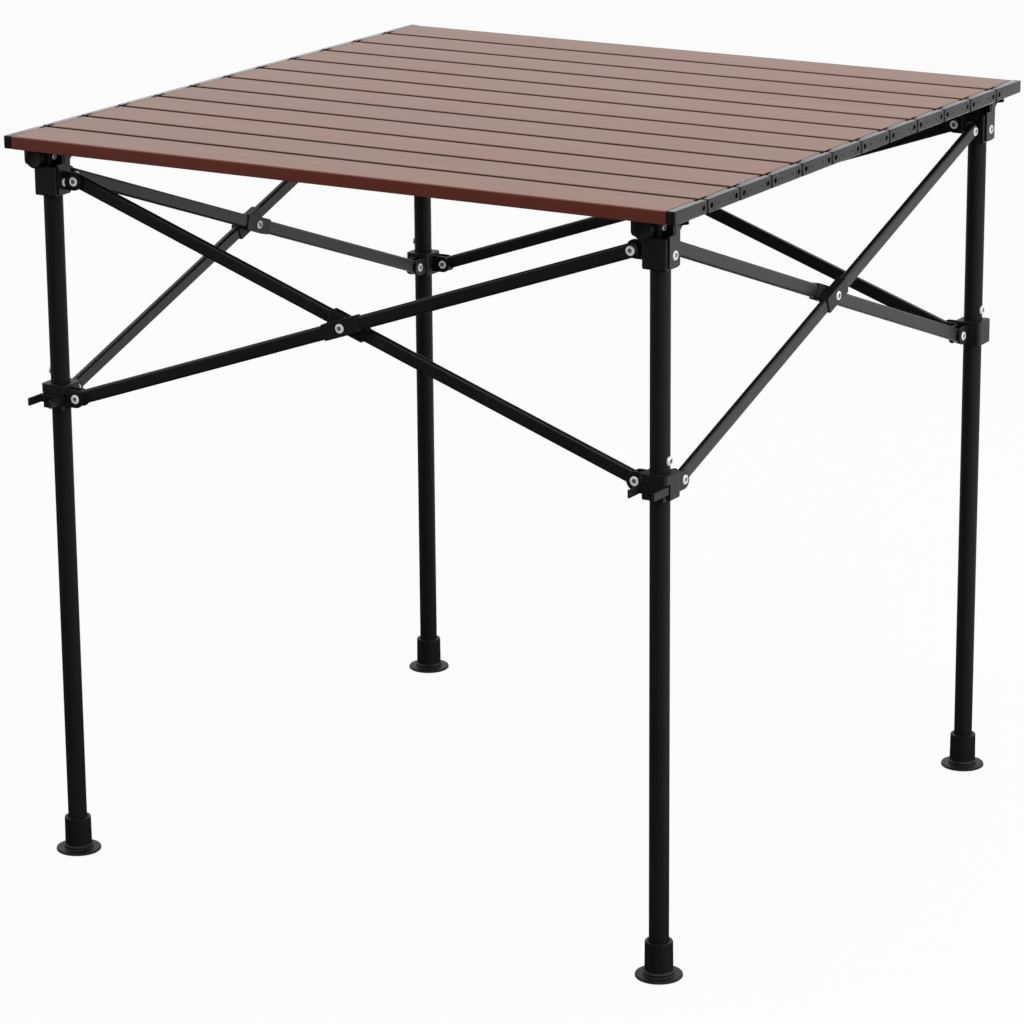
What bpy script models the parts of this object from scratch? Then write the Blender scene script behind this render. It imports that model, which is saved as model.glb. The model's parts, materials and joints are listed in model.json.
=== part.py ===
"""A folding picnic table: a roll-up top of aluminium slats on a square frame of four legs,
which four scissor pairs and four sliding collars open and close.

Metres, +Z up. The origin is on the floor under the middle of the table. +X runs along the
slats to the right, +Y runs from the front edge to the back edge.
"""

import math

import bmesh
import bpy
from mathutils import Matrix, Vector

# Overall size
TOP_WIDTH = 0.700
TOP_DEPTH = 0.700
TABLE_HEIGHT = 0.700
LEG_SPACING = 0.638
SEAT_GAP = 0.0003

# Slats of the top
SLAT_COUNT = 12
SLAT_GAP = 0.0022
SLAT_HEIGHT = 0.012
SLAT_WALL = 0.0014
SLAT_LIP = 0.006
SLAT_EDGE_ROUND = 0.0009
REBATE_WIDTH = 0.0036
REBATE_DEPTH = 0.0022
RIB_OFFSET = 0.010
RIB_HEIGHT = 0.005
SLAT_PITCH = (TOP_DEPTH + SLAT_GAP) / SLAT_COUNT
SLAT_DEPTH = SLAT_PITCH - SLAT_GAP
SLAT_BOTTOM = TABLE_HEIGHT - SLAT_HEIGHT
SLAT_HINGE_HEIGHT = TABLE_HEIGHT - SLAT_HEIGHT / 2

# End caps of the slats
CAP_LENGTH = 0.009
CAP_ROUND = 0.0009
TONGUE_LENGTH = 0.024
LINK_SLOT_WIDTH = 0.0032
LINK_SLOT_REACH = 0.010
LINK_SLOT_DEPTH = 0.009
LINK_PIN_REACH = 0.0069
LINK_HOLE_DIAMETER = 0.0042
CLAW_THICKNESS = 0.0026
CLAW_ROOT = 0.014
CLAW_REACH = 0.0235
CLAW_DROP = 0.0058
CLAW_GAP = 0.0006
CLAW_TOOTH = 0.0022

# Legs and feet
LEG_DIAMETER = 0.018
LEG_WALL = 0.0012
FOOT_FLANGE_DIAMETER = 0.043
FOOT_FLANGE_HEIGHT = 0.003
FOOT_SLEEVE_DIAMETER = 0.0255
FOOT_HEIGHT = 0.034
FOOT_FLOOR = 0.0045
FOOT_RING_DIAMETER = 0.0285
FOOT_RING_HEIGHT = 0.0065
FOOT_RING_EDGE = 0.0012

# Corner fitting at the head of each leg
HEAD_SIDE = 0.024
HEAD_BOTTOM = 0.643
HEAD_TOP = 0.671
HEAD_ROUND = 0.0015
REST_GAP = 0.0005
PLATE_THICKNESS = 0.0022
PLATE_HALF_WIDTH = 0.0093
PLATE_FLARE = 0.020
PLATE_NECK = 0.0007
TAB_THICKNESS = 0.0028
TAB_OFFSET = 0.0026
PEG_DIAMETER = 0.0194
PEG_LENGTH = 0.018
PEG_OFFSET = 0.010
PEG_FRONT = 0.015
PEG_LIP_REACH = 0.0028
PEG_LIP_HEIGHT = 0.0165
PEG_LIP_CORNER = 0.004
PEG_LIP_SETBACK = 0.003

# Scissor bars and their pivots
TOP_PIVOT_HEIGHT = 0.657
COLLAR_HEIGHT = 0.453
PIVOT_REACH = 0.0245
BAR_HEIGHT = 0.013
BAR_THICKNESS = 0.007
BAR_CORNER = 0.0045
BAR_EDGE_ROUND = 0.0015
BAR_OVERHANG = 0.0068
BAR_PLANE = 0.0052
SLEEVE_LENGTH = 0.040
SLEEVE_WALL = 0.0012
SLEEVE_CORNER = 0.0020
PIN_DIAMETER = 0.005
PIN_HOLE_DIAMETER = 0.0056
EAR_THICKNESS = 0.0026
EAR_RADIUS = 0.0085
FORK_THICKNESS = 0.0020
FORK_GAP = 0.0004

# Sliding collars and their release levers
COLLAR_SIDE = 0.027
COLLAR_LENGTH = 0.023
COLLAR_ROUND = 0.004
COLLAR_BORE = 0.0188
LEVER_ARM_THICKNESS = 0.0023
LEVER_ARM_HEIGHT = 0.0075
LEVER_ARM_END = 0.034
LEVER_DROP = 0.0018
LEVER_HINGE_OFFSET = 0.010
LEVER_WEB_START = 0.015
LEVER_WEB_THICKNESS = 0.002
LEVER_PIN_DIAMETER = 0.003
LEVER_PIN_LENGTH = 0.002
LEVER_NOTCH_MARGIN = 0.0015

# Facets of round shapes
LEG_SIDES = 20
FOOT_STEPS = 20
PIN_SIDES = 12
SMALL_PIN_SIDES = 8
PEG_SIDES = 20
ARC_STEPS = 4
SHARP_ANGLE = math.radians(35)
FLAT_ANGLE = math.radians(0.1)
WELD_DISTANCE = 0.000001

HALF_SPACING = LEG_SPACING / 2
CORNERS = {
    "front_left": (-1, -1),
    "front_right": (1, -1),
    "back_left": (-1, 1),
    "back_right": (1, 1),
}
SIDES = {
    "front": ("front_left", "front_right"),
    "left": ("front_left", "back_left"),
    "right": ("front_right", "back_right"),
    "back": ("back_left", "back_right"),
}


def clear_scene():
    for old in list(bpy.data.objects):
        bpy.data.objects.remove(old, do_unlink=True)


def new_collection(name):
    collection = bpy.data.collections.new(name)
    bpy.context.scene.collection.children.link(collection)
    return collection


def finish(name, colour, roughness, metallic):
    made = bpy.data.materials.new(name)
    made.use_nodes = True
    shader = made.node_tree.nodes["Principled BSDF"]
    shader.inputs["Base Color"].default_value = (*colour, 1.0)
    shader.inputs["Roughness"].default_value = roughness
    shader.inputs["Metallic"].default_value = metallic
    return made


def object_from_bmesh(shape, name="shape"):
    mesh = bpy.data.meshes.new(name)
    shape.to_mesh(mesh)
    shape.free()
    made = bpy.data.objects.new(name, mesh)
    bpy.context.scene.collection.objects.link(made)
    return made


def block(low, high, rounding=0.0, upright_only=False, segments=1):
    """A box between two corners, with its edges, or only its upright edges, rounded."""
    low, high = Vector(low), Vector(high)
    shape = bmesh.new()
    bmesh.ops.create_cube(shape, size=1.0)
    bmesh.ops.scale(shape, vec=high - low, verts=shape.verts)
    bmesh.ops.translate(shape, vec=(low + high) / 2, verts=shape.verts)
    if rounding:
        edges = list(shape.edges)
        if upright_only:
            edges = [e for e in edges if (e.verts[0].co - e.verts[1].co).xy.length < WELD_DISTANCE]
        bmesh.ops.bevel(
            shape, geom=edges, offset=rounding, segments=segments, profile=0.5, affect="EDGES"
        )
    return object_from_bmesh(shape)


def span_block(axis, start, end, across, upright, rounding=0.0):
    """A box that runs along X or Y, for pieces that turn with the side of the table."""
    low_u, high_u = sorted((start, end))
    low_v, high_v = sorted(across)
    low = [0.0, 0.0, upright[0]]
    high = [0.0, 0.0, upright[1]]
    low[axis], high[axis] = low_u, high_u
    low[1 - axis], high[1 - axis] = low_v, high_v
    return block(low, high, rounding)


def rod(axis, centre, start, end, diameter, sides):
    """A round rod along axis 0, 1 or 2. centre gives the two other coordinates in order."""
    turn = {
        0: Matrix.Rotation(math.pi / 2, 4, "Y"),
        1: Matrix.Rotation(math.pi / 2, 4, "X"),
        2: Matrix.Identity(4),
    }[axis]
    place = list(centre)
    place.insert(axis, (start + end) / 2)
    shape = bmesh.new()
    bmesh.ops.create_cone(
        shape,
        cap_ends=True,
        segments=sides,
        radius1=diameter / 2,
        radius2=diameter / 2,
        depth=abs(end - start),
        matrix=Matrix.Translation(place) @ turn,
    )
    return object_from_bmesh(shape)


def outline_plate(points, thickness, across_axis, across_centre, rounding=0.0):
    """A flat plate from an outline of (along, up) points, with its rims rounded on request.

    across_axis is the axis that the plate's thickness lies on: 0 for X, 1 for Y.
    """
    curve = bpy.data.curves.new("outline", "CURVE")
    curve.dimensions = "2D"
    curve.fill_mode = "BOTH"
    curve.extrude = thickness / 2 - rounding
    curve.bevel_depth = rounding
    curve.bevel_resolution = 0
    curve.offset = -rounding
    spline = curve.splines.new("POLY")
    spline.points.add(len(points) - 1)
    for point, (along, up) in zip(spline.points, points):
        point.co = (along, up, 0.0, 1.0)
    spline.use_cyclic_u = True
    guide = bpy.data.objects.new("outline", curve)
    bpy.context.scene.collection.objects.link(guide)
    bpy.context.view_layer.update()
    evaluated = guide.evaluated_get(bpy.context.evaluated_depsgraph_get())
    mesh = bpy.data.meshes.new_from_object(evaluated)
    shape = bmesh.new()
    shape.from_mesh(mesh)
    bmesh.ops.remove_doubles(shape, verts=shape.verts, dist=WELD_DISTANCE)
    bmesh.ops.dissolve_limit(shape, angle_limit=FLAT_ANGLE, verts=shape.verts, edges=shape.edges)
    if across_axis == 0:
        turn = Matrix(((0, 0, 1, 0), (1, 0, 0, 0), (0, 1, 0, 0), (0, 0, 0, 1)))
        move = Matrix.Translation((across_centre, 0, 0))
    else:
        turn = Matrix(((1, 0, 0, 0), (0, 0, -1, 0), (0, 1, 0, 0), (0, 0, 0, 1)))
        move = Matrix.Translation((0, across_centre, 0))
    bmesh.ops.transform(shape, matrix=move @ turn, verts=shape.verts)
    bmesh.ops.recalc_face_normals(shape, faces=shape.faces)
    bpy.data.objects.remove(guide, do_unlink=True)
    bpy.data.curves.remove(curve)
    bpy.data.meshes.remove(mesh)
    return object_from_bmesh(shape)


def combine(base, others, operation):
    """Joins or cuts base with the other shapes, and removes them."""
    for other in others:
        change = base.modifiers.new("change", "BOOLEAN")
        change.operation = operation
        change.solver = "EXACT"
        change.object = other
    bpy.context.view_layer.update()
    evaluated = base.evaluated_get(bpy.context.evaluated_depsgraph_get())
    mesh = bpy.data.meshes.new_from_object(evaluated)
    base.modifiers.clear()
    base.data = mesh
    for other in others:
        bpy.data.objects.remove(other, do_unlink=True)
    return base


def join(base, others):
    return combine(base, others, "UNION")


def cut(base, others):
    return combine(base, others, "DIFFERENCE")


def keep(shape, name, material, origin, smooth=False, parent=None):
    """Names a finished piece, puts its origin on its joint's axis and files it."""
    shape.name = name
    shape.data.name = name
    shape.data.materials.clear()
    shape.data.materials.append(material)
    shape.data.transform(Matrix.Translation(-Vector(origin)))
    if smooth:
        shape.data.shade_smooth()
        shape.data.set_sharp_from_angle(angle=SHARP_ANGLE)
    if parent is None:
        shape.location = origin
    else:
        shape.parent = parent
        shape.location = Vector(origin) - parent.location
    for collection in list(shape.users_collection):
        collection.objects.unlink(shape)
    PARTS.objects.link(shape)
    return shape


def slat_centre(number):
    return -TOP_DEPTH / 2 + SLAT_DEPTH / 2 + (number - 1) * SLAT_PITCH


def slat_outline():
    """The channel's section: a rounded front edge, and a rebate along the back edge."""
    half = SLAT_DEPTH / 2
    under = SLAT_HEIGHT - SLAT_WALL
    ledge = SLAT_HEIGHT - REBATE_DEPTH
    rib_side = SLAT_WALL / 2
    back = [
        (half - REBATE_WIDTH, SLAT_HEIGHT),
        (half - REBATE_WIDTH, ledge),
        (half, ledge),
        (half, 0.0),
        (half - SLAT_LIP, 0.0),
        (half - SLAT_LIP, SLAT_WALL),
        (half - SLAT_WALL, SLAT_WALL),
        (half - SLAT_WALL, ledge - SLAT_WALL),
        (half - REBATE_WIDTH - SLAT_WALL, ledge - SLAT_WALL),
        (half - REBATE_WIDTH - SLAT_WALL, under),
    ]
    ribs = []
    for middle in (RIB_OFFSET, -RIB_OFFSET):
        ribs += [
            (middle + rib_side, under),
            (middle + rib_side, under - RIB_HEIGHT),
            (middle - rib_side, under - RIB_HEIGHT),
            (middle - rib_side, under),
        ]
    front = [
        (-half + SLAT_WALL, under),
        (-half + SLAT_WALL, SLAT_WALL),
        (-half + SLAT_LIP, SLAT_WALL),
        (-half + SLAT_LIP, 0.0),
        (-half, 0.0),
        (-half, SLAT_HEIGHT - SLAT_EDGE_ROUND),
        (-half + SLAT_EDGE_ROUND, SLAT_HEIGHT),
    ]
    return back + ribs + front


def make_slat(number, material):
    """An extruded channel, open underneath, with two stiffening ribs."""
    centre = slat_centre(number)
    points = [(centre + along, SLAT_BOTTOM + up) for along, up in slat_outline()]
    length = TOP_WIDTH - 2 * (CAP_LENGTH + SEAT_GAP)
    shape = outline_plate(points, length, 0, 0.0)
    hinge = (0.0, centre - SLAT_PITCH / 2, SLAT_HINGE_HEIGHT)
    return keep(shape, f"slat_{number:02d}", material, hinge)


def claw_outline(leg_y, root_top):
    """The claw under an end slat: it hangs beside the leg's flared plate and ends in two teeth."""
    start = leg_y + PLATE_NECK
    tip = start + CLAW_REACH
    top = SLAT_BOTTOM - CLAW_GAP
    bottom = SLAT_BOTTOM - CLAW_DROP
    return [
        (start, root_top),
        (start, bottom),
        (start + CLAW_ROOT, bottom),
        (tip - CLAW_TOOTH, top - CLAW_TOOTH),
        (tip - 2 * CLAW_TOOTH, top - CLAW_TOOTH / 2),
        (tip, top - CLAW_TOOTH / 4),
        (start + CLAW_ROOT, top),
        (start + CLAW_ROOT, root_top),
    ]


def make_end_cap(number, side_name, slat, material):
    """A moulded cap with a tongue in the slat, and a slot and pin hole for each link."""
    side = -1 if side_name == "left" else 1
    centre = slat_centre(number)
    half = SLAT_DEPTH / 2
    outer = side * TOP_WIDTH / 2
    inner = outer - side * CAP_LENGTH
    shape = span_block(
        0, inner, outer, (centre - half, centre + half), (SLAT_BOTTOM, TABLE_HEIGHT), CAP_ROUND
    )
    tongue_half = half - SLAT_WALL - SEAT_GAP
    tongue_low = SLAT_BOTTOM + SLAT_WALL + SEAT_GAP
    tongue_high = TABLE_HEIGHT - SLAT_WALL - RIB_HEIGHT - SEAT_GAP
    tongue_end = inner - side * TONGUE_LENGTH
    added = [
        span_block(
            0,
            inner + side * CAP_LENGTH / 2,
            tongue_end,
            (centre - tongue_half, centre + tongue_half),
            (tongue_low, tongue_high),
        )
    ]
    if side > 0 and number in (1, SLAT_COUNT):
        leg_y = math.copysign(HALF_SPACING, centre)
        claw_near = HALF_SPACING + HEAD_SIDE / 2 + PLATE_THICKNESS + REST_GAP
        claw_points = claw_outline(leg_y, tongue_high - SEAT_GAP)
        claw_middle = claw_near + CLAW_THICKNESS / 2
        added.append(outline_plate(claw_points, CLAW_THICKNESS, 0, claw_middle))
    join(shape, added)
    cutters = []
    for joint_side in (-1, 1):
        if number + joint_side not in range(1, SLAT_COUNT + 1):
            continue
        edge = centre + joint_side * (half + SLAT_GAP)
        start = centre + joint_side * (half - LINK_SLOT_REACH)
        slot_end = inner + side * LINK_SLOT_WIDTH
        cutters.append(
            span_block(
                0,
                inner - side * SLAT_GAP,
                slot_end,
                (start, edge),
                (TABLE_HEIGHT - LINK_SLOT_DEPTH, TABLE_HEIGHT + SLAT_GAP),
            )
        )
        cutters.append(
            rod(
                0,
                (centre + joint_side * (SLAT_PITCH / 2 - LINK_PIN_REACH), SLAT_HINGE_HEIGHT),
                slot_end - side * LINK_SLOT_WIDTH / 2,
                outer + side * SLAT_GAP,
                LINK_HOLE_DIAMETER,
                SMALL_PIN_SIDES,
            )
        )
    cut(shape, cutters)
    return keep(shape, f"end_cap_{number:02d}_{side_name}", material, slat.location, parent=slat)


def ear_outline(start, pivot, height, radius):
    """A lug that runs from start to a round end about the pivot."""
    way = 1 if pivot > start else -1
    points = [(start, height - radius)]
    for step in range(2 * ARC_STEPS + 1):
        angle = math.pi * step / (2 * ARC_STEPS) - math.pi / 2
        points.append((pivot + way * radius * math.cos(angle), height + radius * math.sin(angle)))
    points.append((start, height + radius))
    return points


def pivot_ear(axis, corner, start, height, thickness, across):
    """A lug on a leg or collar, reaching along X or Y towards the next leg."""
    foot = [corner[0] * HALF_SPACING, corner[1] * HALF_SPACING]
    inward = -corner[axis]
    near = foot[axis] + inward * start
    pivot = foot[axis] + inward * PIVOT_REACH
    points = ear_outline(near, pivot, height, EAR_RADIUS)
    return outline_plate(points, thickness, 1 - axis, foot[1 - axis] + across)


def pivot_hole(axis, corner, height):
    """A cutter for the pin hole through every lug of one pivot."""
    foot = [corner[0] * HALF_SPACING, corner[1] * HALF_SPACING]
    pivot = foot[axis] - corner[axis] * PIVOT_REACH
    through = 1 - axis
    reach = COLLAR_SIDE / 2
    return rod(
        through,
        (pivot, height),
        foot[through] - reach,
        foot[through] + reach,
        PIN_HOLE_DIAMETER,
        PIN_SIDES,
    )


def plate_outline():
    """The plate beside the leg's head: a body, a neck and a flared hook under the top."""
    rest = SLAT_BOTTOM - REST_GAP
    return [
        (-PLATE_HALF_WIDTH, HEAD_BOTTOM + PLATE_THICKNESS),
        (PLATE_HALF_WIDTH, HEAD_BOTTOM + PLATE_THICKNESS),
        (PLATE_HALF_WIDTH, HEAD_TOP + 2 * PLATE_THICKNESS),
        (PLATE_FLARE, rest - 2 * PLATE_THICKNESS),
        (PLATE_FLARE, rest),
        (PLATE_NECK, rest),
        (PLATE_NECK, HEAD_TOP + PLATE_THICKNESS),
        (-PLATE_HALF_WIDTH, HEAD_TOP + PLATE_THICKNESS),
    ]


def lip_outline(centre, rest):
    """The lip behind the peg's disc, with its two outer corners cut off."""
    left = centre - PEG_DIAMETER / 2 - PEG_LIP_REACH
    bottom = rest - PEG_LIP_HEIGHT
    return [
        (centre, rest),
        (left + PEG_LIP_CORNER, rest),
        (left, rest - PEG_LIP_CORNER),
        (left, bottom + PEG_LIP_CORNER),
        (left + PEG_LIP_CORNER, bottom),
        (centre, bottom),
    ]


def pivot_origin(corner_name, height):
    """The pin that carries a leg or collar: on the X-running bar in front, on the Y-running bar behind."""
    corner = CORNERS[corner_name]
    axis = 0 if corner[1] < 0 else 1
    place = [corner[0] * HALF_SPACING, corner[1] * HALF_SPACING, height]
    place[axis] -= corner[axis] * PIVOT_REACH
    return place


def make_leg(corner_name, material):
    """A steel tube with its corner fitting: head block, lugs, tab, web, flared plate and peg."""
    corner = CORNERS[corner_name]
    x, y = corner[0] * HALF_SPACING, corner[1] * HALF_SPACING
    half_head = HEAD_SIDE / 2
    rest = SLAT_BOTTOM - REST_GAP
    shape = rod(2, (x, y), FOOT_FLOOR + SEAT_GAP, HEAD_TOP - HEAD_ROUND, LEG_DIAMETER, LEG_SIDES)
    head = block(
        (x - half_head, y - half_head, HEAD_BOTTOM),
        (x + half_head, y + half_head, HEAD_TOP),
        HEAD_ROUND,
    )
    plate_points = [(y + along, up) for along, up in plate_outline()]
    plate_centre = x + half_head + PLATE_THICKNESS / 2 - SEAT_GAP
    plate = outline_plate(plate_points, PLATE_THICKNESS + SEAT_GAP, 0, plate_centre)
    tab_low = y - PLATE_HALF_WIDTH
    tab_high = y + half_head / 2
    tab = block(
        (x + TAB_OFFSET - TAB_THICKNESS / 2, tab_low, HEAD_TOP - HEAD_ROUND),
        (x + TAB_OFFSET + TAB_THICKNESS / 2, tab_high, rest),
    )
    web = block(
        (x + TAB_OFFSET, tab_high - PLATE_THICKNESS, HEAD_TOP - HEAD_ROUND),
        (x + half_head + PLATE_THICKNESS / 2, tab_high - SEAT_GAP, rest - SEAT_GAP),
    )
    peg_height = rest - PEG_DIAMETER / 2
    peg_start = y - PEG_FRONT
    peg = rod(
        1,
        (x - PEG_OFFSET, peg_height),
        peg_start,
        peg_start + PEG_LENGTH,
        PEG_DIAMETER,
        PEG_SIDES,
    )
    lip_start = peg_start + PEG_LIP_SETBACK
    lip_end = peg_start + PEG_FRONT - PEG_LIP_SETBACK
    lip = outline_plate(
        lip_outline(x - PEG_OFFSET, rest - REST_GAP),
        lip_end - lip_start,
        1,
        (lip_start + lip_end) / 2,
    )
    ears = [
        pivot_ear(axis, corner, half_head - HEAD_ROUND, TOP_PIVOT_HEIGHT, EAR_THICKNESS, 0.0)
        for axis in (0, 1)
    ]
    join(shape, [head, plate, tab, web, peg, lip, *ears])
    bore_top = HEAD_BOTTOM + half_head
    bore = rod(2, (x, y), 0.0, bore_top, LEG_DIAMETER - 2 * LEG_WALL, LEG_SIDES)
    holes = [pivot_hole(axis, corner, TOP_PIVOT_HEIGHT) for axis in (0, 1)]
    cut(shape, [bore, *holes])
    origin = pivot_origin(corner_name, TOP_PIVOT_HEIGHT)
    return keep(shape, f"leg_{corner_name}", material, origin, smooth=True)


def make_foot(corner_name, leg, material):
    """A moulded foot, turned about the leg's axis: a sleeve on a wide flange."""
    corner = CORNERS[corner_name]
    bore = LEG_DIAMETER / 2 + SEAT_GAP
    sleeve = FOOT_SLEEVE_DIAMETER / 2
    flange = FOOT_FLANGE_DIAMETER / 2
    ring = FOOT_RING_DIAMETER / 2
    edge = FOOT_RING_EDGE
    profile = [
        (0.0, FOOT_FLOOR),
        (bore, FOOT_FLOOR),
        (bore, FOOT_HEIGHT),
        (sleeve - edge, FOOT_HEIGHT),
        (sleeve, FOOT_HEIGHT - edge),
        (ring - edge, FOOT_RING_HEIGHT + edge),
        (ring, FOOT_RING_HEIGHT),
        (ring, FOOT_FLANGE_HEIGHT + edge),
        (flange - edge, FOOT_FLANGE_HEIGHT),
        (flange, FOOT_FLANGE_HEIGHT - edge),
        (flange, 0.0),
        (0.0, 0.0),
    ]
    shape = bmesh.new()
    points = [shape.verts.new((along, 0.0, up)) for along, up in profile]
    for first, second in zip(points, points[1:]):
        shape.edges.new((first, second))
    made = object_from_bmesh(shape)
    turned = made.modifiers.new("turned", "SCREW")
    turned.steps = FOOT_STEPS
    turned.render_steps = FOOT_STEPS
    turned.use_merge_vertices = True
    turned.merge_threshold = WELD_DISTANCE
    bpy.context.view_layer.update()
    evaluated = made.evaluated_get(bpy.context.evaluated_depsgraph_get())
    mesh = bpy.data.meshes.new_from_object(evaluated)
    made.modifiers.clear()
    made.data = mesh
    made.data.transform(
        Matrix.Translation((corner[0] * HALF_SPACING, corner[1] * HALF_SPACING, 0.0))
    )
    return keep(made, f"foot_{corner_name}", material, leg.location, smooth=True, parent=leg)


def side_axis(side_name):
    """The axis that a side's bars run along: 0 for X, 1 for Y."""
    return 0 if side_name in ("front", "back") else 1


def bar_plane(side_name, bar_name):
    """The signed offset of a bar from the plane of its two legs: b bars lie outside."""
    first_corner = CORNERS[SIDES[side_name][0]]
    outward = first_corner[1 - side_axis(side_name)]
    return outward * BAR_PLANE if bar_name == "b" else -outward * BAR_PLANE


def fork_offset(plane):
    """The middle of the fork plate that holds a bar from its other face."""
    clear = BAR_PLANE + BAR_THICKNESS / 2 + FORK_GAP + FORK_THICKNESS / 2
    return math.copysign(clear, plane)


def side_at(corner_name, axis):
    """The name of the scissor pair that leaves this corner along X or Y."""
    words = corner_name.split("_")
    return words[0] if axis == 0 else words[1]


def collar_bar(corner_name, axis):
    """Bar b ends at the collar of its side's first leg, bar a at the other leg's collar."""
    return "b" if SIDES[side_at(corner_name, axis)][0] == corner_name else "a"


def has_lever(corner_name):
    """Only the two front collars carry a release lever."""
    return CORNERS[corner_name][1] < 0


def lever_cutters(x, y, outward):
    """Room in a collar for the two arms of its lever, and a hole for each of its pins."""
    half = COLLAR_SIDE / 2
    hinge_height = COLLAR_HEIGHT - LEVER_DROP
    arm_half = LEVER_ARM_HEIGHT / 2 + LEVER_NOTCH_MARGIN
    arm_inner = half - LEVER_ARM_THICKNESS - SEAT_GAP
    notch_start = y + outward * (LEVER_HINGE_OFFSET - 2 * LEVER_PIN_LENGTH)
    notch_end = y + outward * (half + SEAT_GAP)
    cutters = []
    for hand in (-1, 1):
        cutters.append(
            span_block(
                0,
                x + hand * (arm_inner - SEAT_GAP),
                x + hand * (half + SEAT_GAP),
                (notch_start, notch_end),
                (hinge_height - 2 * arm_half, hinge_height + arm_half),
            )
        )
        cutters.append(
            rod(
                0,
                (y + outward * LEVER_HINGE_OFFSET, hinge_height),
                x + hand * (arm_inner - LEVER_PIN_LENGTH - SEAT_GAP),
                x + hand * half,
                LEVER_PIN_DIAMETER + 2 * SEAT_GAP,
                SMALL_PIN_SIDES,
            )
        )
    return cutters


def make_collar(corner_name, material):
    """A collar that slides on the leg, with a forked lug for each of its two bars."""
    corner = CORNERS[corner_name]
    x, y = corner[0] * HALF_SPACING, corner[1] * HALF_SPACING
    half = COLLAR_SIDE / 2
    low, high = COLLAR_HEIGHT - COLLAR_LENGTH / 2, COLLAR_HEIGHT + COLLAR_LENGTH / 2
    shape = block(
        (x - half, y - half, low), (x + half, y + half, high), COLLAR_ROUND, True, 2
    )
    start = half - FORK_THICKNESS
    fork_start = start - COLLAR_ROUND / 2
    lugs = []
    for axis in (0, 1):
        plane = bar_plane(side_at(corner_name, axis), collar_bar(corner_name, axis))
        across = fork_offset(plane)
        lugs.append(pivot_ear(axis, corner, start, COLLAR_HEIGHT, EAR_THICKNESS, 0.0))
        lugs.append(pivot_ear(axis, corner, fork_start, COLLAR_HEIGHT, FORK_THICKNESS, across))
    join(shape, lugs)
    cutters = [rod(2, (x, y), low - half, high + half, COLLAR_BORE, LEG_SIDES)]
    cutters += [pivot_hole(axis, corner, COLLAR_HEIGHT) for axis in (0, 1)]
    if has_lever(corner_name):
        cutters += lever_cutters(x, y, corner[1])
    cut(shape, cutters)
    origin = pivot_origin(corner_name, COLLAR_HEIGHT)
    return keep(shape, f"collar_{corner_name}", material, origin, smooth=True)


def make_lever(corner_name, material):
    """A release lever: two arms outside the leg, joined by a web, on two short pins."""
    corner = CORNERS[corner_name]
    x, y = corner[0] * HALF_SPACING, corner[1] * HALF_SPACING
    outward = corner[1]
    half = COLLAR_SIDE / 2
    height = COLLAR_HEIGHT - LEVER_DROP
    arm_half = LEVER_ARM_HEIGHT / 2
    arm_inner = half - LEVER_ARM_THICKNESS - SEAT_GAP
    arm_outer = half - SEAT_GAP
    web_end = LEVER_WEB_START + LEVER_WEB_THICKNESS
    shape = span_block(
        0,
        x - arm_inner - LEVER_ARM_THICKNESS / 2,
        x + arm_inner + LEVER_ARM_THICKNESS / 2,
        (y + outward * LEVER_WEB_START, y + outward * web_end),
        (height - arm_half + SEAT_GAP, height + arm_half - SEAT_GAP),
    )
    added = []
    for hand in (-1, 1):
        arm_start = LEVER_HINGE_OFFSET - LEVER_PIN_LENGTH
        added.append(
            span_block(
                0,
                x + hand * arm_inner,
                x + hand * arm_outer,
                (y + outward * arm_start, y + outward * LEVER_ARM_END),
                (height - arm_half, height + arm_half),
            )
        )
        added.append(
            rod(
                0,
                (y + outward * LEVER_HINGE_OFFSET, height),
                x + hand * (arm_inner - LEVER_PIN_LENGTH),
                x + hand * (arm_inner + LEVER_ARM_THICKNESS / 2),
                LEVER_PIN_DIAMETER,
                SMALL_PIN_SIDES,
            )
        )
    join(shape, added)
    origin = (x, y + outward * LEVER_HINGE_OFFSET, height)
    return keep(shape, f"release_lever_{corner_name}", material, origin)


def bar_outline(length, height, corner):
    """A flat bar's outline about its middle, with its corners cut to quarter rounds."""
    points = []
    centres = (
        (length / 2 - corner, height / 2 - corner, 0.0),
        (-length / 2 + corner, height / 2 - corner, math.pi / 2),
        (-length / 2 + corner, -height / 2 + corner, math.pi),
        (length / 2 - corner, -height / 2 + corner, 1.5 * math.pi),
    )
    steps = ARC_STEPS // 2
    for along, up, first in centres:
        for step in range(steps + 1):
            angle = first + math.pi / 2 * step / steps
            points.append((along + corner * math.cos(angle), up + corner * math.sin(angle)))
    return points


def tilted(points, centre, angle):
    cosine, sine = math.cos(angle), math.sin(angle)
    return [
        (centre[0] + u * cosine - v * sine, centre[1] + u * sine + v * cosine) for u, v in points
    ]


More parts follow.
